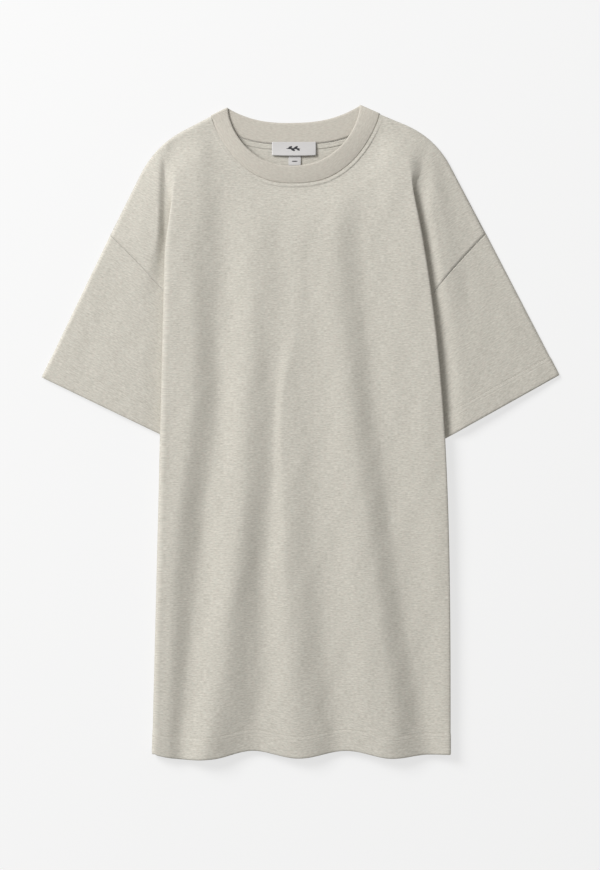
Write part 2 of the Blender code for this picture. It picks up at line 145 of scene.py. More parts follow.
@dataclass(frozen=True)
class Side:
    """One side of the dress, as it lies. Points are (x, y) in millimetres.

    Args:
        name: The wearer's right or left.
        toward: -1 or 1, the direction of this side along X.
        neck: Where the collar seam meets the shoulder.
        corner: Where the shoulder's line would meet the sleeve's.
        rounding: How far from the corner the outline starts to round.
        drop: The dropped shoulder point, at the top of the armhole.
        cuff_tip: The outer end of the cuff.
        cuff_fall: How steeply the cuff's line falls inwards, in degrees.
        tip: The upper end of the pleat.
        tip_share: The outline's point above the tip, from the neck (0) to the drop (1).
        hem_lip: The x of the lip at the hem.
        bend: How much the lip's line bends.
        underarm: Where the side seam meets the armhole.
        seam_hem: The x of the side seam at the hem.
        crest_in: How far inside the lip its rounded crest is.
        squareness: How square the lip's upper edge is, 2 for a plain round.
        soft_in: How far inside its tip the pleat opens out.
        soft_out: How far outside it.
        soft_run: How far down from the tip the pleat takes to close.
        soft_lift: How much higher the cloth beside it lies there.
        step_low: Where the climb beside the pleat's upper end starts.
        step_rise: How far the cloth climbs there.
        step_run: How far it takes to do so.
        low_rise: How far the cloth beside the rest of the pleat climbs.
        settle: How far it falls again behind that climb.
        edge_z: The height it falls to at the outer edge.
    """

    name: str
    toward: int
    neck: Point
    corner: Point
    rounding: float
    drop: Point
    cuff_tip: Point
    cuff_fall: float
    tip: Point
    tip_share: float
    hem_lip: float
    bend: float
    underarm: Point
    seam_hem: float
    crest_in: float
    squareness: float
    soft_in: float
    soft_out: float
    soft_run: float
    soft_lift: float
    step_low: float
    step_rise: float
    step_run: float
    low_rise: float
    settle: float
    edge_z: float

    def lip_x(self, y: Array) -> Array:
        """Give the x of the lip, the body's visible edge."""
        t = np.clip((y - HEM_LOW) / (self.tip[1] - HEM_LOW), 0, 1)
        return mix(self.hem_lip, self.tip[0], t**self.bend)

    def softness(self, y: Array) -> Array:
        """Give how far the pleat has opened out at a height, 0 where it is closed."""
        return ease((y - self.tip[1] + self.soft_run) / self.soft_run)

    def outside(self, x: Array, y: Array) -> Array:
        """Give how far beyond the lip points are."""
        return self.toward * (x - self.lip_x(y))

    def shoulder(self, share: Array) -> Array:
        """Follow the outline from the collar to the dropped shoulder.

        Args:
            share: How far along, from 0 to 1.

        Returns:
            Points on the outline, one row each.
        """
        neck, corner, drop = (np.array(p, float) for p in (self.neck, self.corner, self.drop))
        first, second = np.linalg.norm(corner - neck), np.linalg.norm(drop - corner)
        start = mix(corner, neck, self.rounding / first)
        end = mix(corner, drop, self.rounding / second)
        bend = np.linalg.norm(end - start)
        straight, rest = first - self.rounding, second - self.rounding
        run = np.atleast_1d(share)[:, None] * (straight + bend + rest)
        t = np.clip((run - straight) / bend, 0, 1)
        curve = mix(mix(start, corner, t), mix(corner, end, t), t)
        before = mix(neck, start, np.clip(run / straight, 0, 1))
        after = mix(end, drop, np.clip((run - straight - bend) / rest, 0, 1))
        return np.where(run <= straight, before, np.where(run >= straight + bend, after, curve))

    def armhole(self, share: Array) -> Array:
        """Follow the armhole seam from the underarm (0) to the dropped shoulder (1)."""
        share = np.atleast_1d(share)[:, None]
        under, drop = np.array(self.underarm, float), np.array(self.drop, float)
        across, up = abs(drop[0] - under[0]), drop[1] - under[1]
        bow = ARMHOLE_BOW * np.sin(np.pi * share) / math.hypot(across, up)
        return mix(under, drop, share) + bow * np.array([-self.toward * up, across])

    def armhole_line(self) -> Array:
        """Give the whole armhole seam as points."""
        return self.armhole(np.linspace(0, 1, 60))

    def grain(self) -> tuple[Array, Array]:
        """Give the directions across and along the sleeve's cloth."""
        fall = math.radians(self.cuff_fall)
        across = np.array([math.cos(fall), self.toward * math.sin(fall)])
        return across, np.array([-across[1], across[0]])

    def cuff(self, share: Array) -> Array:
        """Follow the cuff from its tip (0) to the underarm seam (1)."""
        inward = self.toward * CUFF_WIDTH * np.atleast_1d(share)[:, None]
        return np.array(self.cuff_tip) - inward * self.grain()[0]

    def outline(self) -> Array:
        """Give the whole outer line, from the collar over the shoulder and down the sleeve to the cuff."""
        return np.concatenate([self.shoulder(np.linspace(0, 1, 50)), [self.cuff_tip]])

    def arm_cloth(self, x: Array, y: Array) -> Array:
        """Give the cloth's own coordinates beyond the pleat, which turned with the sleeve about its tip."""
        across, up = self.grain()
        dx, dy = x - self.tip[0], y - self.tip[1]
        return np.stack(
            [dx * across[0] + dy * across[1] + self.tip[0], dx * up[0] + dy * up[1] + self.tip[1]], axis=-1
        )


# Lengths, in millimetres
HEM_Y = -440.0
HEM_LOW = -445.5  # where the lines of the two lips start
HEM_FADE = 150.0  # the hem's waves fade out over this length above it
INNER_HEM_Y = -437.0  # the back's hem, which the front covers
UNDERARM_Y = 56.0
CUFF_WIDTH = 215.0
ARMHOLE_BOW = 13.0
CLOTH = 1.2
HEM_CLOTH = 2.1  # the thickness of a turned-up hem
HEM_DEPTH = 26.0
SEAM_GAP = 0.1
FAR = 1000.0  # no hem or seam near

# Heights of the middle of each layer
BACK_Z = CLOTH / 2
BACK_PLEAT_Z = 2.1
ARM_BACK_Z = 3.9
ARM_FRONT_Z = 6.0
FRONT_PLEAT_Z = 7.9
FRONT_Z = 9.4
SHOULDER_Z = 2.2  # at the shoulder and down the sleeve's outer fold
SHOULDER_ROLL_Z = 5.6  # just inside that edge
NECK_SIDE_Z = 3.8
NECK_EDGE_Z = 6.4
NECK_SQUARE = 6  # how late the front's neck edge falls from its middle to its sides

RIGHT = Side(
    name="right", toward=-1, neck=(-123, 436), corner=(-200, 396), rounding=45, drop=(-262, 272),
    cuff_tip=(-356.3, 76.2), cuff_fall=25.7, tip=(-184, 352), tip_share=0.22, hem_lip=-204, bend=1.0,
    underarm=(-100, UNDERARM_Y), seam_hem=-128, crest_in=7, squareness=2.5, soft_in=12, soft_out=5,
    soft_run=112, soft_lift=2.0, step_low=175, step_rise=7.5, step_run=11, low_rise=2.0, settle=1.0,
    edge_z=5.2,
)
LEFT = Side(
    name="left", toward=1, neck=(109, 438.8), corner=(185, 407), rounding=45, drop=(255.5, 274),
    cuff_tip=(356.5, 79.3), cuff_fall=29.1, tip=(147, 368), tip_share=0.18, hem_lip=206, bend=3.3,
    underarm=(103, UNDERARM_Y), seam_hem=133, crest_in=2.0, squareness=3.2, soft_in=-1, soft_out=22,
    soft_run=70, soft_lift=3.8, step_low=110, step_rise=7.5, step_run=22, low_rise=6.0, settle=4.0,
    edge_z=4.2,
)
SIDES = (RIGHT, LEFT)


@dataclass(frozen=True)
class NeckLine:
    """A line round the neck: a deep curve across the front and a shallow one across the back."""

    centre_x: float
    end_y: float
    tilt: float
    half: float
    front_depth: float
    back_depth: float
    front_power: float
    front_round: float
    back_power: float

    def at(self, angle: Array, front: bool) -> Array:
        """Follow the line.

        Args:
            angle: From -pi/2 at the wearer's right to pi/2.
            front: Whether to follow the front's curve or the back's.

        Returns:
            Points on the line, one row each.
        """
        u = np.sin(np.atleast_1d(angle))
        if front:
            drop = self.front_depth * (1 - np.abs(u) ** self.front_power) ** self.front_round
        else:
            drop = self.back_depth * (1 - np.abs(u) ** self.back_power)
        return np.stack([self.centre_x + self.half * u, self.end_y + self.tilt * u - drop], axis=1)

    def line(self, front: bool, points: int = 90) -> Array:
        """Give the whole line as points."""
        return self.at(np.linspace(-np.pi / 2, np.pi / 2, points), front)


NECK_SEAM = NeckLine(-7, 437.4, 1.4, 116, 93.9, 38.9, 2.5, 0.8, 3.2)
COLLAR_SEAM = NeckLine(-7, 437.5, 1.4, 115.8, 93.8, 38.8, 2.5, 0.8, 3.2)
COLLAR_EDGE = NeckLine(-9.3, 449.2, 1.8, 90.8, 81.4, 21.8, 2.2, 0.6, 2.5)


# ---------------------------------------------------------------- folds


@dataclass(frozen=True)
class Fold:
    """The line of one crest or valley down the front.

    Args:
        x: Where it is at each of FOLD_Y.
        lift: How high it stands there.
    """

    x: tuple[float, ...]
    lift: tuple[float, ...]


FOLD_Y = (-445, -369, -231, -93, 45, 183, 300, 370)
FOLDS = (
    Fold((-184, -182, -178, -168, -153, -152, -148, -142), (6.5, 7.5, 9.5, 10, 9, 9, 8, 5)),
    Fold((-164, -158, -144, -128, -112, -109, -104, -98), (3, 2, 0.5, 0, 0, 0, 1, 2)),
    Fold((-131, -112, -97, -80, -72, -62, -66, -66), (12.5, 12, 11.5, 9.5, 7.5, 6, 5, 4)),
    Fold((-66, -58, -50, -42, -36, -26, -30, -30), (0, 0.2, 0.3, 0.8, 2, 3, 4, 3.5)),
    Fold((0, -6, -16, -20, -24, 5, 10, 10), (9.5, 9, 7.5, 6, 5, 5.5, 5.5, 4)),
    Fold((56, 45, 34, 22, 12, 22, 22, 20), (0, 1, 1.8, 2.5, 3.8, 6, 5.5, 4)),
    Fold((122, 120, 102, 84, 68, 53, 47, 42), (12, 12, 11.5, 10.5, 9.5, 8, 6.5, 4.5)),
    Fold((176, 165, 142, 122, 104, 90, 86, 80), (0.5, 1, 1.5, 1.5, 2, 2, 3, 3)),
)
LIP_LIFTS = ((6, 7, 9, 9, 8.5, 8.5, 8, 4), (8, 7, 7.5, 8.5, 9, 9, 9, 6))  # the crests by the two lips

# How far the front's hem hangs below HEM_Y at each of these x
HEM_WAVE_X = (-204, -178, -118, -70, -3, 66, 126, 172, 206)
HEM_WAVE = (2, 7.5, 8, -2.2, 7.4, -2.3, 7.5, 3, 2.5)


@dataclass(frozen=True)
class Ripple:
    """A faint wave in the cloth: its height, its length across and along the dress, and its start."""

    height: float
    across: float
    up: float
    start: float


RIPPLES = (
    Ripple(0.30, 71, 410, 0.6),
    Ripple(0.22, -53, 270, 2.1),
    Ripple(0.12, 37, 330, 4.4),
    Ripple(0.18, 95, 120, 1.3),
    Ripple(0.08, -47, 83, 5.2),
    Ripple(0.05, 31, -61, 3.3),
)


def faint_waves(x: Array, y: Array) -> Array:
    """Give the unevenness that soft cloth keeps when it is smoothed out by hand."""
    return sum(
        r.height * np.sin(2 * np.pi * (x / r.across + y / r.up) + r.start + 0.9 * np.sin(y / 97 + r.start))
        for r in RIPPLES
    )


def dimples(x: Array, y: Array) -> Array:
    """Give the small soft hollows that a heavy knit keeps."""
    first = np.sin(x / 5.1 + 2.2 * np.sin(y / 13.7)) * np.sin(y / 7.3 + 1.9 * np.sin(x / 11.9))
    second = np.sin(x / 9.7 + y / 17.1 + 1.7 * np.sin(y / 21.3)) * np.sin(y / 12.1 - x / 23.9)
    return 0.07 * first + 0.13 * second


def lift(x: Array, y: Array) -> Array:
    """Give how far the folds raise the front above its lowest level."""
    first, last = (side.lip_x(y) - side.toward * side.crest_in for side in SIDES)
    places = [first, *(through(FOLD_Y, fold.x, y) for fold in FOLDS), last]
    crests = LIP_LIFTS[0], *(fold.lift for fold in FOLDS), LIP_LIFTS[1]
    lifts = [through(FOLD_Y, crest, y) for crest in crests]
    raised = np.where(x < places[0], lifts[0], lifts[-1])
    for n in range(len(places) - 1):
        t = (x - places[n]) / (places[n + 1] - places[n])
        raised = np.where((t >= 0) & (t < 1), mix(lifts[n], lifts[n + 1], ease(t)), raised)
    return raised


def edge_distance(x: Array, y: Array) -> Array:
    """Give how far points are inside the shoulder and sleeve outlines."""
    return np.minimum(distance_to(x, y, RIGHT.outline()), distance_to(x, y, LEFT.outline()))


def hem_stand(distance: Array) -> Array:
    """Give how far a turned-up hem lifts a layer that rests on something."""
    return (HEM_CLOTH - CLOTH) / 2 * (1 - ease((distance - HEM_DEPTH) / 3))


def front_z(x: Array, y: Array) -> Array:
    """Give the height of the front's upper layer."""
    neck = distance_to(x, y, NECK_SEAM.line(True))
    edge = edge_distance(x, y)
    u = np.clip(np.abs((x - NECK_SEAM.centre_x) / NECK_SEAM.half), 0, 1)
    neck_z = mix(NECK_SIDE_Z, NECK_EDGE_Z, 1 - u**NECK_SQUARE)
    z = mix(neck_z, FRONT_Z, ease(neck / 42))
    z = z + (lift(x, y) + faint_waves(x, y) + dimples(x, y)) * ease(neck / 75) * ease(edge / 52)
    z = z + 0.5 + 0.3 * ease(neck / 3) - 0.8 * ease((neck - 4.2) / 1.3) + 0.2 * hump(neck - 3.7, 0.9)
    z = mix(SHOULDER_ROLL_Z, z, ease(edge / 46))
    return SHOULDER_Z + (z - SHOULDER_Z) * rounded(edge / 5)


def arm_front_z(side: Side, x: Array, y: Array) -> Array:
    """Give the height of a sleeve's upper layer and of the front beyond its pleat.

    Args:
        side: Which side.
        x: The points' x.
        y: Their y.

    Returns:
        The z of each point.
    """
    out = side.outside(x, y)
    edge = edge_distance(x, y)
    upper = ease((y - side.step_low) / 110) * ease((405 - y) / 40)
    soft = side.softness(y)
    climb = mix(side.low_rise, side.step_rise, upper) - side.soft_lift * soft
    start = 0.5 + (side.soft_out - 4) * soft
    rise = side.soft_lift * soft + climb * ease((out - start) / mix(30, side.step_run, upper))
    rise = rise - side.settle * upper * ease((out - 30) / 24)
    share = np.clip(out, 0, None) / (np.clip(out, 0, None) + edge + 1)
    waves = 0.7 * faint_waves(x * 0.8 + side.toward * 0.3 * y, y * 0.8) * ease(out / 40)
    z = mix(ARM_FRONT_Z + rise, side.edge_z, share**1.2) + (waves + dimples(x, y)) * ease(edge / 30)
    return SHOULDER_Z + (z - SHOULDER_Z) * rounded(edge / 3)


def arm_back_z(side: Side, x: Array, y: Array) -> Array:
    """Give the height of the lower layer, on the surface beside the body and on the back's pleat under it."""
    free = ease((side.outside(x, y) - 22) / 26)
    return mix(ARM_BACK_Z, BACK_Z, free)


# ---------------------------------------------------------------- cloth meshes


@dataclass
class Patch:
    """A grid of points that becomes a sheet of cloth.

    Args:
        points: Rows of columns of (x, y, z), in millimetres.
        cloth: The same grid's place on the flat cloth, in millimetres.
        hem: How far the points are from the nearest turned-up hem's edge.
        thickness: The cloth's thickness, at each point or all over.
        closed: Whether the last column joins the first.
    """

    points: Array
    cloth: Array
    hem: Array | float
    thickness: Array | float
    closed: bool = False

    def build(self, name: str, flip: bool = False) -> bpy.types.Object:
        """Make the sheet and give it its wall.

        Args:
            name: The piece's name.
            flip: Whether to turn its faces round.

        Returns:
            The new piece, in the scene.
        """
        rows, columns = self.points.shape[:2]
        sheet = bmesh.new()
        bmesh.ops.create_grid(sheet, x_segments=columns - 1, y_segments=rows - 1, size=1)
        self.bend(sheet, rows, columns)
        if self.closed:
            bmesh.ops.remove_doubles(sheet, verts=sheet.verts, dist=2e-6)
        if flip:
            bmesh.ops.reverse_faces(sheet, faces=sheet.faces)
        piece = settle_mesh(name, sheet)
        self.give_wall(piece)
        return piece

    def bend(self, sheet: bmesh.types.BMesh, rows: int, columns: int) -> None:
        """Move the grid's points into place, and note what the wall and the finishes need to know.

        Args:
            sheet: The flat grid.
            rows: How many rows of points it has.
            columns: How many columns.
        """
        layers = sheet.verts.layers.float
        hem, thick = layers.new("hem"), layers.new("thick")
        hems, thicknesses = (np.broadcast_to(v, (rows, columns)) for v in (self.hem, self.thickness))
        order = sorted(sheet.verts, key=lambda v: (round(v.co.y, 5), round(v.co.x, 5)))
        index = {}
        for n, vert in enumerate(order):
            at = divmod(n, columns)
            vert.co = self.points[at] * MM
            vert[hem] = hems[at] * MM
            vert[thick] = thicknesses[at]
            index[vert] = self.cloth[at] * MM
        place = sheet.loops.layers.uv.new("cloth")
        for face in sheet.faces:
            for loop in face.loops:
                loop[place].uv = index[loop.vert]

    def give_wall(self, piece: bpy.types.Object) -> None:
        """Thicken the sheet, more where its hem is turned up.

        Args:
            piece: The sheet, which carries its thickness at each point.
        """
        most = float(np.max(self.thickness))
        group = piece.vertex_groups.new(name="thick")
        values = piece.data.attributes["thick"].data
        for vert, value in zip(piece.data.vertices, values):
            group.add([vert.index], value.value / most, "REPLACE")
        wall = piece.modifiers.new("wall", "SOLIDIFY")
        wall.thickness = most * MM
        wall.offset = 0
        wall.vertex_group = group.name
        wall.thickness_vertex_group = 0.0


def settle_mesh(name: str, made: bmesh.types.BMesh) -> bpy.types.Object:
    """Turn worked geometry into a smooth piece in the scene.

    Args:
        name: The piece's name.
        made: The geometry, which is freed.

    Returns:
        The new piece.
    """
    mesh = bpy.data.meshes.new(name)
    made.to_mesh(mesh)
    made.free()
    mesh.shade_smooth()
    piece = bpy.data.objects.new(name, mesh)
    bpy.context.scene.collection.objects.link(piece)
    return piece


def cloth_thickness(hem: Array) -> Array:
    """Give the cloth's thickness, double in a hem and rounded off at its edge."""
    full = mix(HEM_CLOTH, CLOTH, ease((hem - HEM_DEPTH) / 3))
    return full * mix(0.62, 1.0, rounded(hem / 1.6))


# ---------------------------------------------------------------- panels


@dataclass
class Panel:
    """The front or the back, from one armhole or side seam to the other.

    Args:
        front: Whether it is the front.
        columns: How many columns lie right of the neck, under it and left of it.
        hem_rows: Rows across the turned-up hem.
        skirt_rows: Rows from there to the underarm.
        pleat_rows: Rows from the underarm to the tips of the pleats.
        yoke_rows: Rows above that.
        turn: Columns round the lip.
        under: Columns from there in to the crease.
        crease: Columns round the crease.
        arm: Columns from there out to the armhole.
        hem_zone: How far from the hem its close rows reach.
        neck_share: The neck's part of the width between the lips.
        yoke_depth: How deep the rows above the tips are, at the lips and in the middle.
        trough: The share of the shoulder that the trough above a pleat takes up.
    """

    front: bool
    columns: tuple[int, int, int] = (26, 124, 22)
    hem_rows: int = 16
    skirt_rows: int = 78
    pleat_rows: int = 54
    yoke_rows: int = 28
    turn: int = 10
    under: int = 9
    crease: int = 4
    arm: int = 24
    hem_zone: float = 32
    neck_share: Point = (0.155, 0.886)
    yoke_depth: Point = (58, 34)
    trough: float = 0.24

    def __post_init__(self) -> None:
        """Work out the rows and columns."""
        below = self.hem_rows + self.skirt_rows
        self.at_underarm = below
        self.at_tip = below + self.pleat_rows
        self.top = self.at_tip + self.yoke_rows
        hem = np.linspace(0, 1, self.hem_rows, endpoint=False) * self.hem_zone
        skirt = np.linspace(self.hem_zone, UNDERARM_Y - HEM_Y, self.skirt_rows + 1)
        self.heights = HEM_Y + np.concatenate([hem, skirt])
        self.yoke_up = 1 - (1 - np.linspace(0, 1, self.yoke_rows + 1)[1:]) ** 1.5
        right, neck, left = self.columns
        neck_from, neck_to = self.neck_share
        self.shares = np.concatenate(
            [
                np.linspace(0, neck_from, right, endpoint=False),
                np.linspace(neck_from, neck_to, neck, endpoint=False),
                np.linspace(neck_to, 1, left + 1),
            ]
        )
        self.neck_span = (right, right + neck)

    def rows_to(self, tip_y: Array, top_y: Array) -> Array:
        """Give the y of every row on some columns.

        Args:
            tip_y: Where the columns pass the row of the pleats' tips.
            top_y: Where they end.

        Returns:
            The y, row by row.
        """
        tip_y, top_y = np.atleast_1d(tip_y)[None, :], np.atleast_1d(top_y)[None, :]
        skirt = np.repeat(self.heights[:, None], tip_y.shape[1], axis=1)
        t = (np.arange(1, self.pleat_rows + 1) / self.pleat_rows)[:, None]
        pleat = mix(UNDERARM_Y, tip_y, t)
        yoke = mix(tip_y, top_y, self.yoke_up[:, None])
        return np.concatenate([skirt, pleat, yoke])

    def up(self) -> Array:
        """Give how far each row is from the pleat's tip (0) to the outline (1)."""
        return np.concatenate([np.zeros(self.at_tip + 1), self.yoke_up])

    def lip(self, side: Side) -> Array:
        """Give the lip's column, which goes on up from the pleat's tip to the outline."""
        top = side.shoulder(side.tip_share)[0]
        y = self.rows_to(side.tip[1], top[1])[:, 0]
        x = np.where(self.up() > 0, mix(side.tip[0], top[0], self.up()), side.lip_x(y))
        return np.stack([x, y], axis=1)

    def turn_depth(self, side: Side) -> Array:
        """Give how far inside the lip its rounded turn starts, at every row."""
        closed, opened = (side.crest_in, side.soft_in) if self.front else (0.8, 0.8)
        y = self.lip(side)[:, 1]
        return mix(closed, opened, side.softness(y)) * (1 - self.up())

    def dip(self, x: Array, y: Array) -> Array:
        """Give how far the hem falls lower where a fold lifts it."""
        fade = 1 - ease((y - HEM_Y) / HEM_FADE)
        if not self.front:
            return (HEM_Y - INNER_HEM_Y) * fade
        return through(HEM_WAVE_X, HEM_WAVE, x) * fade

    def top_z(self, x: Array, y: Array) -> Array:
        """Give the height of the layer between the lips."""
        return front_z(x, y) if self.front else np.full_like(x, BACK_Z)

    def pleat_z(self, x: Array, y: Array) -> Array:
        """Give the height of the layer that is turned under."""
        if not self.front:
            return np.full_like(x, BACK_PLEAT_Z)
        return mix(FRONT_PLEAT_Z, ARM_BACK_Z + 0.8, ease((-20 - y) / 60))

    def arm_z(self, side: Side, x: Array, y: Array) -> Array:
        """Give the height of the layer between the crease and the armhole."""
        return arm_front_z(side, x, y) if self.front else arm_back_z(side, x, y)

    def middle(self) -> tuple[Array, Array]:
        """Place the columns between the lips.

        Returns:
            The x and the y of their points, row by row.
        """
        start, end = self.neck_span
        share = self.shares
        tops = np.zeros((len(share), 2))
        right = RIGHT.tip_share * (1 - share[:start] / share[start])
        tops[:start] = RIGHT.shoulder(right)
        angle = np.linspace(-np.pi / 2, np.pi / 2, end - start + 1)
        tops[start : end + 1] = NECK_SEAM.at(angle, self.front)
        left = LEFT.tip_share * (1 - (1 - share[end:]) / (1 - share[end]))
        tops[end:] = LEFT.shoulder(left)
        depth = mix(*self.yoke_depth, np.sin(np.pi * share))
        y = self.rows_to(tops[:, 1] - depth, tops[:, 1])
        lips = [self.lip(side) for side in SIDES]
        edges = [lip[:, 0] - side.toward * self.turn_depth(side) for lip, side in zip(lips, SIDES)]
        top_right, top_left = RIGHT.shoulder(RIGHT.tip_share)[0][0], LEFT.shoulder(LEFT.tip_share)[0][0]
        shift = tops[:, 0] - mix(top_right, top_left, share)
        rise = ease((np.arange(self.top + 1) - self.at_underarm) / (self.top - self.at_underarm))
        x = mix(edges[0][:, None], edges[1][:, None], share[None, :]) + shift[None, :] * rise[:, None]
        y[:, 0], y[:, -1] = lips[0][:, 1], lips[1][:, 1]
        return x, y

    def ends(self, side: Side) -> Array:
        """Give the panel's edge, up the side seam and round the armhole, at every row."""
        y = self.lip(side)[: self.at_underarm, 1]
        t = (y - HEM_Y) / (UNDERARM_Y - HEM_Y)
        seam = np.stack([mix(side.seam_hem, side.underarm[0], t), y], axis=1)
        share = np.linspace(0, 1, self.top - self.at_underarm + 1)
        return np.concatenate([seam, side.armhole(share)])

    def side(self, side: Side) -> tuple[Array, Array, Array, Array]:
        """Place the columns from the lip round under to the armhole.

        Args:
            side: Which side.

        Returns:
            The x, the y and the z of their points, row by row, and how far across the cloth they are.
        """
        lip, end, depth = self.lip(side), self.ends(side), self.turn_depth(side)
        count = self.turn + self.under + self.crease + self.arm
        x, y, z, run = (np.zeros((self.top + 1, count)) for _ in range(4))
        for row in range(self.top + 1):
            if row <= self.at_tip:
                values = self.pleat_row(side, row, lip[row], end[row], depth[row])
            else:
                values = self.yoke_row(side, row, end, depth[self.at_tip])
            x[row], y[row], z[row] = values
            steps = [np.diff(row_of[row], prepend=row_of[row, 0]) for row_of in (x, z)]
            run[row] = np.cumsum(np.hypot(*steps))
        return x, y, z, run

    def ramp(self, side: Side, start: Array, stop: Array) -> tuple[Array, ...]:
        """Place points down the slope from the body to the cloth beyond, where the pleat is open.

        Args:
            side: Which side.
            start: The slope's top.
            stop: Its foot.

        Returns:
            The x, the y and the z of the points.
        """
        count = self.turn + self.under + self.crease
        share = (np.arange(count) + 1) / count
        x, y = mix(start[0], stop[0], share), mix(start[1], stop[1], share)
        return x, y, mix(self.top_z(x, y), self.arm_z(side, x, y), ease(share))

    def pleat_row(self, side: Side, row: int, lip: Array, end: Array, depth: float) -> tuple[Array, ...]:
        """Place one row's points round the turn, under, round the crease and out.

        Args:
            side: Which side.
            row: The row's number.
            lip: Its point on the lip.
            end: Its point on the side seam or the armhole.
            depth: How far inside the lip the turn starts.

        Returns:
            The x, the y and the z of the points.
        """
        inner_x = np.array([lip[0] - side.toward * depth])
        start_z = float(self.top_z(inner_x, lip[1:2])[0])
        pleat_z = float(self.pleat_z(lip[:1], lip[1:2])[0])
        turn_z = pleat_z + (2.2 if self.front else 0.7) * min(1.0, (start_z - pleat_z) / 4 + 0.2)
        angle = np.linspace(0, np.pi, self.turn + 1)[1:]
        over = angle <= np.pi / 2
        power = 2 / (side.squareness if self.front else 2)
        sine, cosine = np.sin(angle), np.abs(np.cos(angle))
        reach = np.where(over, depth * (1 - sine**power), min(depth, 3.0) * (1 - sine))
        turn_x = lip[0] - side.toward * reach
        turn_zs = np.where(
            over, turn_z + (start_z - turn_z) * cosine**power, turn_z - (turn_z - pleat_z) * cosine
        )
        folded = row > self.at_underarm
        opened = float(side.softness(lip[1])) if folded else 0.0
        if folded:
            t = (row - self.at_underarm) / self.pleat_rows
            inner = mix(np.array(side.underarm, float), np.array(side.tip, float), t)
            inner[0] += side.toward * side.soft_out * opened
        else:
            part = mix(0.35, 0.985, ease(row / self.at_underarm))
            inner = mix(np.array([turn_x[-1], lip[1]]), end, part)
        share = (np.arange(self.under) + 1) / self.under
        under_x, under_y = mix(turn_x[-1], inner[0], share), mix(lip[1], inner[1], share)
        under_z = self.pleat_z(under_x, under_y)
        crease = (np.arange(self.crease) + 1) / self.crease
        arm = ((np.arange(self.arm) + 1) / self.arm) ** 0.8
        if folded:
            first_z = float(self.arm_z(side, inner[:1], inner[1:2])[0])
            crease_x = inner[0] - side.toward * 0.8 * np.sin(np.pi * crease)
            crease_y = np.full(self.crease, inner[1])
            crease_z = mix(first_z, under_z[-1], (1 + np.cos(np.pi * crease)) / 2)
            arm_x, arm_y = mix(inner[0], end[0], arm), mix(inner[1], end[1], arm)
            arm_z = self.arm_z(side, arm_x, arm_y)
        else:
            rest = np.concatenate([crease * 0.2, 0.2 + 0.8 * arm])
            rest_x, rest_y = mix(inner[0], end[0], rest), mix(inner[1], end[1], rest)
            rest_z = self.pleat_z(rest_x, rest_y)
            crease_x, crease_y, crease_z = (v[: self.crease] for v in (rest_x, rest_y, rest_z))
            arm_x, arm_y, arm_z = (v[self.crease :] for v in (rest_x, rest_y, rest_z))
        fold = (
            np.concatenate([turn_x, under_x, crease_x]),
            np.concatenate([np.full(self.turn, lip[1]), under_y, crease_y]),
            np.concatenate([turn_zs, under_z, crease_z]),
        )
        if opened:
            slope = self.ramp(side, np.array([inner_x[0], lip[1]]), inner)
            shares = opened, opened, 1 - (1 - opened) ** 2.4
            fold = tuple(mix(a, b, share) for a, b, share in zip(fold, slope, shares))
        return tuple(np.concatenate([a, b]) for a, b in zip(fold, (arm_x, arm_y, arm_z)))

    def yoke_row(self, side: Side, row: int, end: Array, depth: float) -> tuple[Array, ...]:
        """Place one row's points above the pleat, where it has opened out into a trough that fades.

        Args:
            side: Which side.
            row: The row's number.
            end: The panel's edge at every row.
            depth: How far inside the tip the trough starts.

        Returns:
            The x, the y and the z of the points.
        """
        up = self.up()[row]
        tip, low_end = np.array(side.tip, float), end[self.at_tip]
        start, foot = tip - [side.toward * depth, 0], tip + [side.toward * side.soft_out, 0]
        wide = self.trough
        count = self.turn + self.under + self.crease
        first = (np.arange(count) + 1)[:, None] / count
        rest = ((np.arange(self.arm) + 1)[:, None] / self.arm) ** 0.8
        shares = np.concatenate([wide * first, wide + (1 - wide) * rest])[:, 0]
        low = np.concatenate([mix(start, foot, first), mix(foot, low_end, rest)])
        high = side.shoulder(mix(side.tip_share, 1, shares))
        place = mix(low, high, up)
        place[count:] += rest * (end[row] - mix(low_end, end[-1], up))
        x, y = place[:, 0], place[:, 1]
        fall = np.concatenate([ease(first[:, 0]), np.ones(self.arm)])
        return x, y, mix(self.top_z(x, y), self.arm_z(side, x, y), fall)

    def patch(self) -> Patch:
        """Put the whole panel together.

        Returns:
            The panel, from its right armhole to its left.
        """
        x, flat_y = self.middle()
        y = flat_y - self.dip(x, flat_y)
        centre = x, y, self.top_z(x, y), np.stack([x, flat_y], axis=-1), flat_y - HEM_Y
        parts = []
        slope = self.turn + self.under + self.crease
        for side in SIDES:
            sx, sy, sz, run = self.side(side)
            edge = x[:, :1] if side is RIGHT else x[:, -1:]
            body = np.stack([edge + side.toward * run, sy], axis=-1)
            arm = side.arm_cloth(sx, sy)
            turned = np.zeros((self.top + 1, sx.shape[1], 1))
            turned[self.at_underarm + 1 :, slope:] = 1
            soft = side.softness(self.lip(side)[self.at_underarm + 1 :, 1])[:, None, None]
            turned[self.at_underarm + 1 :, :slope] = soft * ease(np.arange(slope) / slope)[None, :, None]
            drop = self.side_dip(side, sx, sy)
            parts.append((sx, sy - drop, sz, mix(body, arm, turned), sy - HEM_Y))
        xs, ys, zs, cloth, hem = (
            np.concatenate([right[:, ::-1], between, left], axis=1)
            for right, between, left in zip(parts[0], centre, parts[1])
        )
        if not self.front:
            zs = zs + hem_stand(hem)
        zs = zs + 0.35 * hump(self.seam_distance(xs, ys) - 1.6, 1.1) * (zs > 1.9)
        return Patch(np.stack([xs, ys, zs], axis=-1), cloth, hem, cloth_thickness(hem))

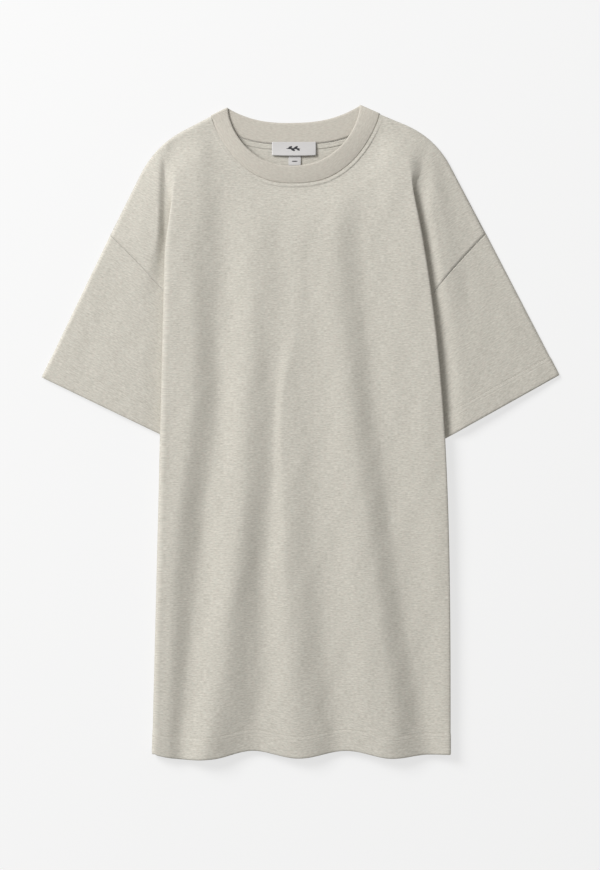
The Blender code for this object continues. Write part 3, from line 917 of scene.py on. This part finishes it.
    def side_dip(self, side: Side, x: Array, y: Array) -> Array:
        """Give how far the turned-under hem falls: with the front at its lip, and less further in.

        Args:
            side: Which side.
            x: The points' x.
            y: Their y.

        Returns:
            How far each point moves down.
        """
        if not self.front:
            return self.dip(x, y)
        inside = ease(-side.outside(x, y) / 30)
        return mix(self.dip(side.lip_x(y), y), -2.0 * (1 - ease((y - HEM_Y) / 60)), inside)

    def seam_distance(self, x: Array, y: Array) -> Array:
        """Give how far points beyond the pleats are from the armhole seams.

        Args:
            x: All the panel's x.
            y: All its y.

        Returns:
            Their distances, and FAR for all other points.
        """
        best = np.full(x.shape, FAR)
        rows = slice(self.at_underarm + 3, None)
        for side, columns in ((RIGHT, slice(0, self.arm)), (LEFT, slice(-self.arm, None))):
            best[rows, columns] = distance_to(x[rows, columns], y[rows, columns], side.armhole_line())
        return best


# ---------------------------------------------------------------- sleeves


@dataclass
class Sleeve:
    """A short sleeve, a flattened tube from the armhole to its open cuff."""

    side: Side
    columns: int = 84
    rows: int = 60
    hem_rows: int = 14
    hem_zone: float = 34
    fold_z: float = 2.1
    under_shift: float = 500

    @property
    def name(self) -> str:
        """Give the CAD node that it stands for."""
        return f"sleeve_{self.side.name}"

    def shares(self) -> Array:
        """Give the columns' places across the sleeve, closest together at its outer fold."""
        return np.linspace(0, 1, self.columns) ** 1.5

    def runs(self, reach: Array) -> Array:
        """Give how far each row is from the armhole, with the last rows parallel to the cuff.

        Args:
            reach: How far the cuff is from the armhole on each column.

        Returns:
            The share of that distance, row by row.
        """
        hem = np.linspace(self.hem_zone, 0, self.hem_rows) / reach[:, None]
        t = np.linspace(0, 1, self.rows, endpoint=False) ** 1.25
        first = (SEAM_GAP / reach)[:, None]
        body = mix(first, 1 - self.hem_zone / reach[:, None], t[None, :])
        return np.concatenate([body, 1 - hem], axis=1).T

    def patch(self) -> Patch:
        """Put the tube together: its upper layer from the outer fold in, then its lower layer back.

        Returns:
            The tube, whose last column is its first.
        """
        side, share = self.side, self.shares()
        seam, cuff = side.armhole(1 - share), side.cuff(share)
        reach = np.linalg.norm(cuff - seam, axis=1)
        run = self.runs(reach)
        place = mix(seam[None], cuff[None], run[..., None])
        x, y = place[..., 0], place[..., 1]
        hem = (1 - run) * reach[None, :]
        low = arm_back_z(side, x, y) + hem_stand(hem)
        high = np.maximum(arm_front_z(side, x, y), low + CLOTH)
        fold = distance_to(x, y, side.outline())
        middle = mix(low, self.fold_z, 0.9)
        high = mix(middle, high, rounded(fold / 4))
        low = mix(np.minimum(middle, high), low, rounded(fold / 3))
        high = high + 0.1 * hump(distance_to(x, y, side.armhole_line()), 1.6)

        def ring(upper: Array, under: Array) -> Array:
            """Join the two layers' columns into one row that closes."""
            return np.concatenate([upper, under[:, ::-1], upper[:, :1]], axis=1)

        cloth = side.arm_cloth(x, y)
        lower = cloth[:, ::-1] + np.array([self.under_shift, 0])
        cloths = np.concatenate([cloth, lower, lower[:, -1:]], axis=1)
        points = np.stack([ring(x, x), ring(y, y), ring(high, low)], axis=-1)
        hems = ring(hem, hem)
        return Patch(points, cloths, hems, cloth_thickness(hems), closed=True)


# ---------------------------------------------------------------- collar, tape and labels


@dataclass
class Collar:
    """The doubled rib round the neck, turned over at both ends of the shoulders."""

    steps: int = 110
    turn: int = 6
    rows: int = 15
    thickness: float = 2.3
    crown: float = 0.7
    seam_stand: float = -0.3
    edge_stand: float = 2.8

    def ring(self, line: NeckLine, stand: float) -> Array:
        """Follow a neck line all round, with its height.

        Args:
            line: The line to follow.
            stand: How much higher the front stands than the body beside it.

        Returns:
            Points (x, y, z), from the right over the front to the left and back.
        """
        angle = np.linspace(-np.pi / 2, np.pi / 2, self.steps)
        front, back = line.at(angle, True), line.at(-angle, False)
        side = np.abs(np.sin(angle))
        level = mix(NECK_SIDE_Z, NECK_EDGE_Z, 1 - side**NECK_SQUARE) + stand * (1 - side**8)
        front = np.column_stack([front, level])
        back = np.column_stack([back, np.full(self.steps, self.thickness / 2)])
        phase = np.linspace(0, np.pi, self.turn + 2)[1:-1]
        turns = []
        for n, toward in ((-1, 1), (0, -1)):
            out = np.array([toward * 0.62, 0.78])
            bulge = 0.5 * np.sin(phase)[:, None] * out
            fall = mix(self.thickness / 2, NECK_SIDE_Z, (1 + np.cos(phase)) / 2)
            turns.append(np.column_stack([front[n, :2] + bulge, fall]))
        return np.concatenate([front, turns[0], back, turns[1][::-1], front[:1]])

    def patch(self) -> Patch:
        """Put the band together from its seam to its folded edge.

        Returns:
            The band, whose last column is its first.
        """
        seam, edge = self.ring(COLLAR_SEAM, self.seam_stand), self.ring(COLLAR_EDGE, self.edge_stand)
        across = np.linspace(0, 1, self.rows)[:, None, None]
        points = mix(seam[None], edge[None], across)
        width = np.linalg.norm(edge - seam, axis=1)
        crown = np.sin(np.pi * across[..., 0] ** 0.8) * self.crown
        front = np.zeros(len(seam), bool)
        front[: self.steps] = True
        front[-1] = True
        points[..., 2] += np.where(front[None, :], crown, crown * 0.35)
        lip = rounded((1 - across[..., 0]) * width[None, :] / 2.2)
        from_seam = across[..., 0] * width[None, :]
        steps = np.linalg.norm(np.diff(seam[:, :2], axis=0), axis=1)
        run = np.concatenate([[0], np.cumsum(steps)])
        cloth = np.stack(np.broadcast_arrays(run[None, :], from_seam), axis=-1)
        return Patch(points, cloth, FAR, self.thickness * mix(0.55, 1.0, lip), closed=True)


@dataclass
class Tape:
    """The narrow tape that covers the back neck seam inside."""

    width: float = 7.0
    below: float = 1.0
    end: float = math.radians(58)
    level: float = CLOTH + 0.17
    thickness: float = 0.24
    cloth_shift: float = 600
    columns: int = 90
    rows: int = 6

    def line(self, points: int) -> Array:
        """Give the part of the neck seam that it follows."""
        return NECK_SEAM.at(np.linspace(-self.end, self.end, points), False)

    def patch(self) -> Patch:
        """Lay the tape along the seam, on the back.

        Returns:
            The strip, from its lower edge up.
        """
        line = self.line(self.columns)
        down = self.below + np.linspace(self.width, 0, self.rows)
        x = np.repeat(line[None, :, 0], self.rows, axis=0)
        y = line[None, :, 1] - down[:, None]
        z = np.full_like(x, self.level)
        cloth = np.stack([x, y + self.cloth_shift], axis=-1)
        return Patch(np.stack([x, y, z], axis=-1), cloth, FAR, self.thickness)


@dataclass
class Label:
    """A woven satin label, sewn at its top and free at its lower edge.

    Args:
        name: The CAD node that it stands for.
        x: The middle.
        top_y: The upper edge.
        width: Across.
        height: From top to bottom.
        top_z: The height of the upper edge.
        bow: How much its middle and lower edge stand up.
        thickness: The satin's.
        sag: How far its lower edge hangs down in the middle, as a share of its width.
    """

    name: str
    x: float
    top_y: float
    width: float
    height: float
    top_z: float
    bow: float
    thickness: float = 0.5
    sag: float = 0.8 / 61

    def height_at(self, x: Array, y: Array) -> Array:
        """Give the label's height at a point."""
        across = np.clip((x - self.x) / (self.width / 2), -1, 1)
        down = np.clip((self.top_y - y) / self.height, 0, 1)
        return self.top_z + self.bow * down**1.6 * (1 - 0.55 * across**2) + 0.25 * down * across

    def patch(self) -> Patch:
        """Bend the label.

        Returns:
            The label, from its lower edge up.
        """
        across, up = np.linspace(-1, 1, 41), np.linspace(0, 1, 17)
        x = self.x + self.width / 2 * across[None, :] + 0 * up[:, None]
        sag = self.sag * self.width * (1 - across[None, :] ** 2) * (1 - up[:, None])
        y = self.top_y - self.height * (1 - up[:, None]) - sag
        z = self.height_at(x, y)
        cloth = np.stack([x - self.x, y - self.top_y], axis=-1)
        return Patch(np.stack([x, y, z], axis=-1), cloth, FAR, self.thickness)


LABELS = (
    Label("main_label", -9, 401, 61, 18.5, 3.2, 2.2),
    Label("size_label", -8, 390, 17, 21.5, 2.2, 0.9),
)


# ---------------------------------------------------------------- finishes


class Nodes:
    """A thin helper that adds and joins a material's nodes."""

    def __init__(self, name: str) -> None:
        """Start a material with only its shader and its output."""
        self.material = bpy.data.materials.new(name)
        self.material.use_nodes = True
        self.tree = self.material.node_tree
        self.shader = self.tree.nodes["Principled BSDF"]

    def add(self, kind: str, **settings: object) -> bpy.types.Node:
        """Add a node and set its properties."""
        node = self.tree.nodes.new(kind)
        for key, value in settings.items():
            setattr(node, key, value)
        return node

    def wire(self, source: Socket | float, target: Socket) -> None:
        """Join a socket to another, or set a number on it."""
        if isinstance(source, Socket):
            self.tree.links.new(source, target)
        else:
            target.default_value = source

    def set(self, **values: float | tuple[float, ...]) -> None:
        """Set the shader's own numbers, named with _ for each space."""
        for key, value in values.items():
            self.shader.inputs[key.replace("_", " ")].default_value = value

    def math(self, how: str, a: Socket | float, b: Socket | float = 0.0) -> Socket:
        """Add a sum and give its result."""
        node = self.add("ShaderNodeMath", operation=how)
        self.wire(a, node.inputs[0])
        self.wire(b, node.inputs[1])
        return node.outputs[0]

    def span(
        self, value: Socket, low: float, high: float, to: Point = (0, 1), soft: bool = True
    ) -> Socket:
        """Map a span onto another, level beyond its ends.

        Args:
            value: What to map.
            low: The start of its span.
            high: The end of it.
            to: The new span.
            soft: Whether to ease in and out.

        Returns:
            The mapped value.
        """
        node = self.add("ShaderNodeMapRange", interpolation_type="SMOOTHSTEP" if soft else "LINEAR")
        self.wire(value, node.inputs["Value"])
        node.inputs["From Min"].default_value, node.inputs["From Max"].default_value = low, high
        node.inputs["To Min"].default_value, node.inputs["To Max"].default_value = to
        return node.outputs["Result"]

    def cloth(self) -> Socket:
        """Give the place on the flat cloth, in metres."""
        return self.add("ShaderNodeUVMap", uv_map="cloth").outputs["UV"]

    def noise(self, place: Socket, size: Point, detail: float = 2.0, shift: float = 0.0) -> Socket:
        """Add flat noise.

        Args:
            place: Where it is read.
            size: The size of its spots across and along the cloth, in millimetres.
            detail: How many finer noises are laid over it.
            shift: What sets it apart from other noise.

        Returns:
            Its value.
        """
        mapping = self.add("ShaderNodeMapping")
        self.wire(place, mapping.inputs["Vector"])
        mapping.inputs["Scale"].default_value = (1000 / size[0], 1000 / size[1], 1)
        mapping.inputs["Location"].default_value = (shift, shift * 1.7, shift * 0.3)
        noise = self.add("ShaderNodeTexNoise", noise_dimensions="2D")
        noise.inputs["Scale"].default_value = 1.0
        noise.inputs["Detail"].default_value = detail
        noise.inputs["Roughness"].default_value = 0.55
        self.wire(mapping.outputs["Vector"], noise.inputs["Vector"])
        return noise.outputs["Fac"]

    def blend(self, share: Socket, a: Socket | Colour, b: Socket | Colour) -> Socket:
        """Blend two colours.

        Args:
            share: How much of the second shows.
            a: The first.
            b: The second.

        Returns:
            The blended colour.
        """
        node = self.add("ShaderNodeMix", data_type="RGBA")
        self.wire(share, node.inputs["Factor"])
        for source, target in ((a, node.inputs[6]), (b, node.inputs[7])):
            if isinstance(source, tuple):
                target.default_value = (*source, 1)
            else:
                self.wire(source, target)
        return node.outputs[2]

    def bump(self, height: Socket, distance: float) -> None:
        """Give the shader a relief of the given depth, in millimetres."""
        node = self.add("ShaderNodeBump")
        node.inputs["Distance"].default_value = distance * MM
        node.inputs["Strength"].default_value = 1.0
        self.wire(height, node.inputs["Height"])
        self.wire(node.outputs["Normal"], self.shader.inputs["Normal"])


@dataclass(frozen=True)
class Flecks:
    """Scattered fibres or clouds of another colour: their look and how much they show.

    Args:
        size: Across and along the cloth, in millimetres.
        colour: Their colour.
        share: How much they show.
        span: The noise levels between which they come in.
        detail: How many finer noises they have.
        shift: What sets them apart.
    """

    size: Point
    colour: Colour
    share: float
    span: Point
    detail: float
    shift: float

    def over(self, nodes: Nodes, place: Socket, colour: Socket) -> Socket:
        """Lay them over a colour."""
        shown = nodes.span(nodes.noise(place, self.size, self.detail, self.shift), *self.span)
        return nodes.blend(nodes.math("MULTIPLY", shown, self.share), colour, self.colour)


@dataclass(frozen=True)
class Jersey:
    """Heavy single jersey in a melange yarn of pale, grey-brown and warm fibres.

    Args:
        name: The material's name.
        pale: The colour of the main fibre.
        dark: The colour of the darker streaks.
        streaks: The size of the short and the long streaks, in millimetres.
        short_share: How much the short ones count.
        flecks: The warm fibres, the grey-green fibres and the faint clouds.
        wale: The width of one column of knit loops, in millimetres.
        course: The height of one row of loops, in millimetres.
        relief: The depth of the bump, in millimetres.
    """

    name: str = "oatmeal jersey"
    pale: Colour = (0.672, 0.645, 0.575)
    dark: Colour = (0.492, 0.470, 0.412)
    streaks: tuple[Point, Point] = ((4.6, 1.3), (15, 1.5))
    short_share: float = 0.62
    flecks: tuple[Flecks, ...] = (
        Flecks((4.5, 1.6), (0.600, 0.530, 0.475), 0.4, (0.56, 0.70), 1.0, 55.0),
        Flecks((8, 2.2), (0.560, 0.560, 0.500), 0.4, (0.55, 0.72), 1.0, 83.0),
        Flecks((46, 26), (0.50, 0.47, 0.41), 0.06, (0.3, 0.7), 2.0, 12.0),
    )
    wale: float = 0.95
    course: float = 0.75
    relief: float = 0.35

    def loops(self, nodes: Nodes, place: Socket) -> Socket:
        """Draw the little v-shaped loops of the knit.

        Args:
            nodes: The material's nodes.
            place: The place on the cloth.

        Returns:
            Their height.
        """
        parts = nodes.add("ShaderNodeSeparateXYZ")
        nodes.wire(place, parts.inputs[0])
        across = nodes.math("MULTIPLY", parts.outputs[0], 1000 / self.wale)
        up = nodes.math("MULTIPLY", parts.outputs[1], 1000 / self.course)
        leg = nodes.math("PINGPONG", across, 0.5)
        slanted = nodes.math("ADD", up, nodes.math("MULTIPLY", leg, 1.4))
        wave = nodes.math("SINE", nodes.math("MULTIPLY", slanted, 2 * math.pi))
        groove = nodes.math("SINE", nodes.math("MULTIPLY", leg, 2 * math.pi))
        return nodes.math("ADD", nodes.math("MULTIPLY", wave, 0.35), groove)

    def seams(self, nodes: Nodes, place: Socket) -> Socket:
        """Draw the grooves that the hem's two rows of stitches pull in, and the puckers between them.

        Args:
            nodes: The material's nodes.
            place: The place on the cloth.

        Returns:
            Their height.
        """
        hem = nodes.add("ShaderNodeAttribute", attribute_name="hem").outputs["Fac"]
        total: Socket | float = 0.0
        for row in HEM_STITCHES:
            gap = nodes.math("ABSOLUTE", nodes.math("SUBTRACT", hem, row * MM))
            total = nodes.math("SUBTRACT", total, nodes.span(gap, 0.0, 0.0016, (1, 0)))
        pucker = nodes.noise(place, (5, 16), 1.0, 7.0)
        gap = nodes.math("ABSOLUTE", nodes.math("SUBTRACT", hem, sum(HEM_STITCHES) / 2 * MM))
        near = nodes.span(gap, 0.002, 0.012, (1, 0))
        return nodes.math("ADD", total, nodes.math("MULTIPLY", pucker, near))

    def make(self) -> bpy.types.Material:
        """Make the material."""
        nodes = Nodes(self.name)
        place = nodes.cloth()
        short = nodes.noise(place, self.streaks[0], 2.5)
        long = nodes.noise(place, self.streaks[1], 2.0, 31.0)
        weights = (short, self.short_share), (long, 1 - self.short_share)
        both = nodes.math("ADD", *(nodes.math("MULTIPLY", *weight) for weight in weights))
        colour = nodes.blend(nodes.span(both, 0.35, 0.65, soft=False), self.dark, self.pale)
        for fleck in self.flecks:
            colour = fleck.over(nodes, place, colour)
        nodes.wire(colour, nodes.shader.inputs["Base Color"])
        fuzz = nodes.noise(place, (1.1, 0.9), 2.0, 3.0)
        knit = nodes.math("ADD", self.loops(nodes, place), nodes.math("MULTIPLY", fuzz, 1.2))
        seams = nodes.math("MULTIPLY", self.seams(nodes, place), 0.45)
        nodes.bump(nodes.math("ADD", nodes.math("MULTIPLY", knit, 0.12), seams), self.relief)
        nodes.set(Roughness=0.94, Specular_IOR_Level=0.2, Sheen_Weight=0.08, Sheen_Roughness=0.5)
        return nodes.material


@dataclass(frozen=True)
class Rib:
    """The fine rib knit of the collar.

    Args:
        name: The material's name.
        pale: The colour of the main fibre.
        dark: The colour of the darker streaks.
        warm: The warm fibres.
        pitch: The width of one rib, in millimetres.
        course: The height of one row of loops.
        relief: The depth of the bump.
    """

    name: str = "oatmeal rib"
    pale: Colour = (0.625, 0.592, 0.522)
    dark: Colour = (0.550, 0.518, 0.454)
    warm: Flecks = Flecks((9, 3.0), (0.60, 0.535, 0.475), 0.35, (0.5, 0.7), 1.0, 41.0)
    pitch: float = 1.7
    course: float = 0.9
    relief: float = 0.10

    def make(self) -> bpy.types.Material:
        """Make the material."""
        nodes = Nodes(self.name)
        place = nodes.cloth()
        streak = nodes.span(nodes.noise(place, (6, 1.5), 2.0), 0.34, 0.68, soft=False)
        colour = self.warm.over(nodes, place, nodes.blend(streak, self.dark, self.pale))
        nodes.wire(colour, nodes.shader.inputs["Base Color"])
        parts = nodes.add("ShaderNodeSeparateXYZ")
        nodes.wire(place, parts.inputs[0])
        ribs, up = (
            nodes.math("SINE", nodes.math("MULTIPLY", parts.outputs[n], 2 * math.pi * 1000 / size))
            for n, size in enumerate((self.pitch, self.course))
        )
        nodes.bump(nodes.math("ADD", ribs, nodes.math("MULTIPLY", up, 0.4)), self.relief)
        nodes.set(Roughness=0.94, Specular_IOR_Level=0.2, Sheen_Weight=0.08)
        return nodes.material


@dataclass(frozen=True)
class Satin:
    """The close satin weave of the labels."""

    name: str = "label satin"
    colour: Colour = (0.625, 0.612, 0.605)

    def make(self) -> bpy.types.Material:
        """Make the material."""
        nodes = Nodes(self.name)
        place = nodes.cloth()
        thread = nodes.noise(place, (6, 0.25), 1.0)
        colour = nodes.blend(nodes.span(thread, 0.3, 0.7), tuple(c * 0.93 for c in self.colour), self.colour)
        nodes.wire(colour, nodes.shader.inputs["Base Color"])
        nodes.bump(thread, 0.04)
        nodes.set(Roughness=0.45, Sheen_Weight=0.2)
        return nodes.material


@dataclass(frozen=True)
class Thread:
    """Spun sewing thread, matched to the cloth or dark."""

    name: str
    colour: Colour

    def make(self) -> bpy.types.Material:
        """Make the material."""
        nodes = Nodes(self.name)
        place = nodes.add("ShaderNodeTexCoord").outputs["Object"]
        twist = nodes.add("ShaderNodeTexNoise")
        twist.inputs["Scale"].default_value = 1800
        nodes.wire(place, twist.inputs["Vector"])
        shade = nodes.span(twist.outputs["Fac"], 0.3, 0.7)
        colour = nodes.blend(shade, tuple(c * 0.8 for c in self.colour), self.colour)
        nodes.wire(colour, nodes.shader.inputs["Base Color"])
        nodes.set(Roughness=0.8)
        return nodes.material


@dataclass(frozen=True)
class Paper:
    """The plain pale surface that the dress lies on, lit a little from below."""

    name: str = "pale surface"
    shade: float = 0.26
    glow: float = 0.66

    def make(self) -> bpy.types.Material:
        """Make the material."""
        nodes = Nodes(self.name)
        nodes.set(Base_Color=(self.shade, self.shade, self.shade, 1), Roughness=0.9, Specular_IOR_Level=0.1)
        nodes.set(Emission_Color=(1, 1, 1, 1), Emission_Strength=self.glow)
        return nodes.material


class Finish(Enum):
    """The named finishes of the dress."""

    JERSEY = Jersey()
    RIB = Rib()
    SATIN = Satin()
    THREAD = Thread("oatmeal thread", (0.60, 0.575, 0.51))
    DARK_THREAD = Thread("dark woven thread", (0.035, 0.035, 0.04))
    PAPER = Paper()

    def dress(self, piece: bpy.types.Object) -> None:
        """Put the finish on a piece, making its material once."""
        made = bpy.data.materials.get(self.value.name)
        piece.data.materials.append(made or self.value.make())


# ---------------------------------------------------------------- stitches


HEM_STITCHES = (24.0, 29.5)  # how far the rows are from the hem
NECK_STITCHES = 5.2  # how far the row is outside the neck seam


@dataclass(frozen=True)
class Stitches:
    """Rows of small stitches that lie on a cloth.

    Args:
        name: The piece's name.
        length: Of one stitch.
        pitch: From one stitch to the next.
        width: Of the thread.
        probe: How far before and after its middle a stitch feels for the cloth's slope.
    """

    name: str
    length: float = 2.5
    pitch: float = 3.3
    width: float = 0.55
    probe: float = 0.8

    def lay(self, lines: Sequence[Array], height: HeightField) -> bpy.types.Object:
        """Sew along lines in plan.

        Args:
            lines: The rows, each a line of (x, y).
            height: The height of the cloth's upper face.

        Returns:
            One piece with all the stitches.
        """
        sewn = bmesh.new()
        for line in lines:
            spots = along(line, self.pitch)
            ahead = np.gradient(spots, axis=0)
            ahead /= np.linalg.norm(ahead, axis=1)[:, None]
            levels = [height(*(spots + ahead * s).T) for s in (-self.probe, self.probe)]
            level = height(*spots.T)
            for n in range(len(spots)):
                climb = (levels[1][n] - levels[0][n]) / (2 * self.probe)
                way = Vector((*ahead[n], climb)).normalized()
                self.stitch(sewn, Vector((*spots[n], level[n])), way)
        return settle_mesh(self.name, sewn)

    def stitch(self, sewn: bmesh.types.BMesh, at: Vector, way: Vector) -> None:
        """Add one stitch, a little bead drawn out along the row.

        Args:
            sewn: What to add it to.
            at: Its middle.
            way: The row's direction.
        """
        aside = Vector((0, 0, 1)).cross(way).normalized()
        up = way.cross(aside)
        turn = Matrix((way, aside, up)).transposed().to_4x4()
        size = Matrix.Diagonal((self.length / 2 * MM, self.width / 2 * MM, self.width / 2 * MM, 1))
        bmesh.ops.create_uvsphere(
            sewn, u_segments=6, v_segments=4, radius=1,
            matrix=Matrix.Translation(at * MM) @ turn @ size @ Matrix.Rotation(math.pi / 2, 4, "Y"),
        )


@dataclass(frozen=True)
class Embroidery:
    """A plain woven mark on a label, of small raised lozenges.

    Args:
        name: The piece's name.
        label: The label that it is on.
        marks: Each mark's x and y from the label's middle top, its length and width, and its slant.
    """

    name: str
    label: Label
    marks: tuple[tuple[float, float, float, float, float], ...]
    probe: float = 0.5
    stand: float = 0.3
    thickness: float = 0.24

    def sew(self) -> bpy.types.Object:
        """Lay the marks on the label.

        Returns:
            One piece with all the marks.
        """
        sewn = bmesh.new()
        for across, down, length, width, slant in self.marks:
            x, y = self.label.x + across, self.label.top_y - down
            spots = np.array([x, x + self.probe, x]), np.array([y, y, y - self.probe])
            level, beside, below = self.label.height_at(*spots)
            lean = Vector(((beside - level) / self.probe, (level - below) / self.probe, -1)).normalized()
            turn = Vector((0, 0, -1)).rotation_difference(lean).to_matrix().to_4x4()
            size = Matrix.Diagonal((length / 2 * MM, width / 2 * MM, self.thickness / 2 * MM, 1))
            place = Matrix.Translation(Vector((x, y, level + self.stand)) * MM)
            bmesh.ops.create_uvsphere(
                sewn, u_segments=12, v_segments=6, radius=1,
                matrix=place @ turn @ Matrix.Rotation(math.radians(slant), 4, "Z") @ size,
            )
        return settle_mesh(self.name, sewn)


SPRIG = (
    (-1.0, 9.3, 20, 1.7, 0), (-5.2, 7.7, 6.4, 3.0, 26), (-1.4, 10.9, 6.4, 3.0, -26),
    (2.6, 7.7, 6.4, 3.0, 26), (5.8, 10.6, 5.4, 2.6, -26),
)
BARS = ((0.0, 15.6, 8.5, 1.5, 0),)


def offset_line(line: Array, distance: float) -> Array:
    """Move a line to its right in plan.

    Args:
        line: Its points.
        distance: How far to move it.

    Returns:
        The moved points.
    """
    ahead = np.gradient(line, axis=0)
    ahead /= np.linalg.norm(ahead, axis=1)[:, None]
    return line + np.stack([ahead[:, 1], -ahead[:, 0]], axis=1) * distance


# ---------------------------------------------------------------- the dress


class Dress:
    """The whole garment."""

    def keep(self, piece: bpy.types.Object, finish: Finish) -> bpy.types.Object:
        """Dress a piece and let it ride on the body.

        Args:
            piece: The piece.
            finish: Its finish.

        Returns:
            The same piece.
        """
        finish.dress(piece)
        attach(piece, BODY)
        LOG.info("%s: %d faces", piece.name, len(piece.data.polygons))
        return piece

    def sew(self) -> None:
        """Build every piece."""
        self.sew_panels()
        self.sew_sleeves()
        self.sew_neck()
        self.stitch_hems()

    def sew_panels(self) -> None:
        """Build the front and the back."""
        front = self.keep(Panel(front=True).patch().build("front_panel"), Finish.JERSEY)
        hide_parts("front")
        back_form = Panel(
            front=False, columns=(12, 70, 12), hem_rows=12, skirt_rows=36, pleat_rows=30, yoke_rows=16,
            turn=5, under=6, crease=4, arm=16,
        )
        back = self.keep(back_form.patch().build("back_panel"), Finish.JERSEY)
        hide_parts("back")

    def sew_sleeves(self) -> None:
        """Build both sleeves."""
        for side in SIDES:
            sleeve = Sleeve(side)
            piece = sleeve.patch().build(f"{sleeve.name}_tube", flip=side is LEFT)
            self.keep(piece, Finish.JERSEY)
            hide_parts(sleeve.name)

    def sew_neck(self) -> None:
        """Build the collar, the tape and the labels."""
        collar = self.keep(Collar().patch().build("collar_rib", flip=True), Finish.RIB)
        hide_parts("collar")
        tape = self.keep(Tape().patch().build("neck_tape_strip"), Finish.JERSEY)
        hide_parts("neck_tape")
        for label in LABELS:
            piece = self.keep(label.patch().build(f"{label.name}_satin"), Finish.SATIN)
            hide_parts(label.name)
        for mark in (
            Embroidery("main_label_sprig", LABELS[0], SPRIG), Embroidery("size_label_bars", LABELS[1], BARS)
        ):
            self.keep(mark.sew(), Finish.DARK_THREAD)
        self.stitch_neck()

    def stitch_neck(self) -> None:
        """Sew the row that holds the neck seam down, and both edges of the tape."""
        row = offset_line(NECK_SEAM.line(True, 300)[6:-6], NECK_STITCHES)
        lay = Stitches("neck_stitches", width=0.5).lay([row], lambda x, y: front_z(x, y) + CLOTH / 2)
        self.keep(lay, Finish.THREAD)
        tape = Tape()
        edges = [tape.line(200) - np.array([0, tape.below + at]) for at in (1.0, tape.width - 1.0)]
        lay = Stitches("tape_stitches", pitch=2.8, length=2.1, width=0.4).lay(
            edges, lambda x, y: np.full_like(x, CLOTH + 0.3)
        )
        self.keep(lay, Finish.THREAD)

    def stitch_hems(self) -> None:
        """Sew two rows round the skirt's hem and round each cuff."""
        panel = Panel(front=True)
        x = np.linspace(RIGHT.hem_lip + 7, LEFT.hem_lip - 6, 400)
        rows = []
        for distance in HEM_STITCHES:
            flat = np.full_like(x, HEM_Y + distance)
            rows.append(np.stack([x, flat - panel.dip(x, flat)], axis=1))
        lay = Stitches("hem_stitches").lay(rows, lambda x, y: front_z(x, y) + CLOTH / 2 + 0.1)
        self.keep(lay, Finish.THREAD)
        for side in SIDES:
            share = np.linspace(0.012, 0.98, 160)
            seam, cuff = side.armhole(1 - share), side.cuff(share)
            ahead = (seam - cuff) / np.linalg.norm(seam - cuff, axis=1)[:, None]
            rows = [cuff + ahead * distance for distance in HEM_STITCHES]
            lay = Stitches(f"cuff_stitches_{side.name}").lay(
                rows, lambda x, y, side=side: arm_front_z(side, x, y) + CLOTH / 2 + 0.1
            )
            self.keep(lay, Finish.THREAD)


# ---------------------------------------------------------------- the studio


@dataclass
class Studio:
    """A pale surface, soft light from the upper left, and a camera straight above."""

    height: float = 3.6
    view_height: float = 1.2006
    centre: Point = (-0.0007, -0.0031)
    surface: float = 9
    key_place: tuple[float, float, float] = (-3.35, 2.55, 3.35)
    key_size: float = 2.5
    key_power: float = 286
    fill: float = 0.38
    fill_colour: Colour = (1.0, 0.995, 0.985)
    sensor: float = 36

    def set_up(self) -> None:
        """Build the surface, the lights and the camera."""
        self.lay_surface()
        self.hang_light()
        world = bpy.data.worlds.new("studio")
        world.use_nodes = True
        background = world.node_tree.nodes["Background"]
        background.inputs["Color"].default_value = (*self.fill_colour, 1)
        background.inputs["Strength"].default_value = self.fill
        bpy.context.scene.world = world
        bpy.context.scene.view_settings.view_transform = "Standard"
        self.mount_camera()

    def lay_surface(self) -> None:
        """Lay the surface under the dress."""
        surface = bmesh.new()
        bmesh.ops.create_grid(surface, x_segments=1, y_segments=1, size=self.surface)
        floor = settle_mesh("surface", surface)
        Finish.PAPER.dress(floor)

    def hang_light(self) -> None:
        """Hang the square soft light that faces the middle of the dress."""
        light = bpy.data.lights.new("key", "AREA")
        light.energy = self.key_power
        light.size = self.key_size
        lamp = bpy.data.objects.new("key", light)
        lamp.location = self.key_place
        lamp.rotation_euler = (-Vector(self.key_place)).to_track_quat("-Z", "Y").to_euler()
        bpy.context.scene.collection.objects.link(lamp)

    def mount_camera(self) -> None:
        """Mount the camera straight above."""
        camera = bpy.data.cameras.new("overhead")
        camera.sensor_fit = "VERTICAL"
        camera.sensor_height = self.sensor
        camera.lens = self.sensor * self.height / self.view_height
        rig = bpy.data.objects.new("overhead", camera)
        rig.location = (*self.centre, self.height)
        bpy.context.scene.collection.objects.link(rig)
        bpy.context.scene.camera = rig


def main() -> None:
    """Build the dress and the studio, and note the sizes."""
    logging.basicConfig(level=logging.INFO, format="%(name)s %(message)s")
    Dress().sew()
    Studio().set_up()


if __name__ == "__main__":
    main()
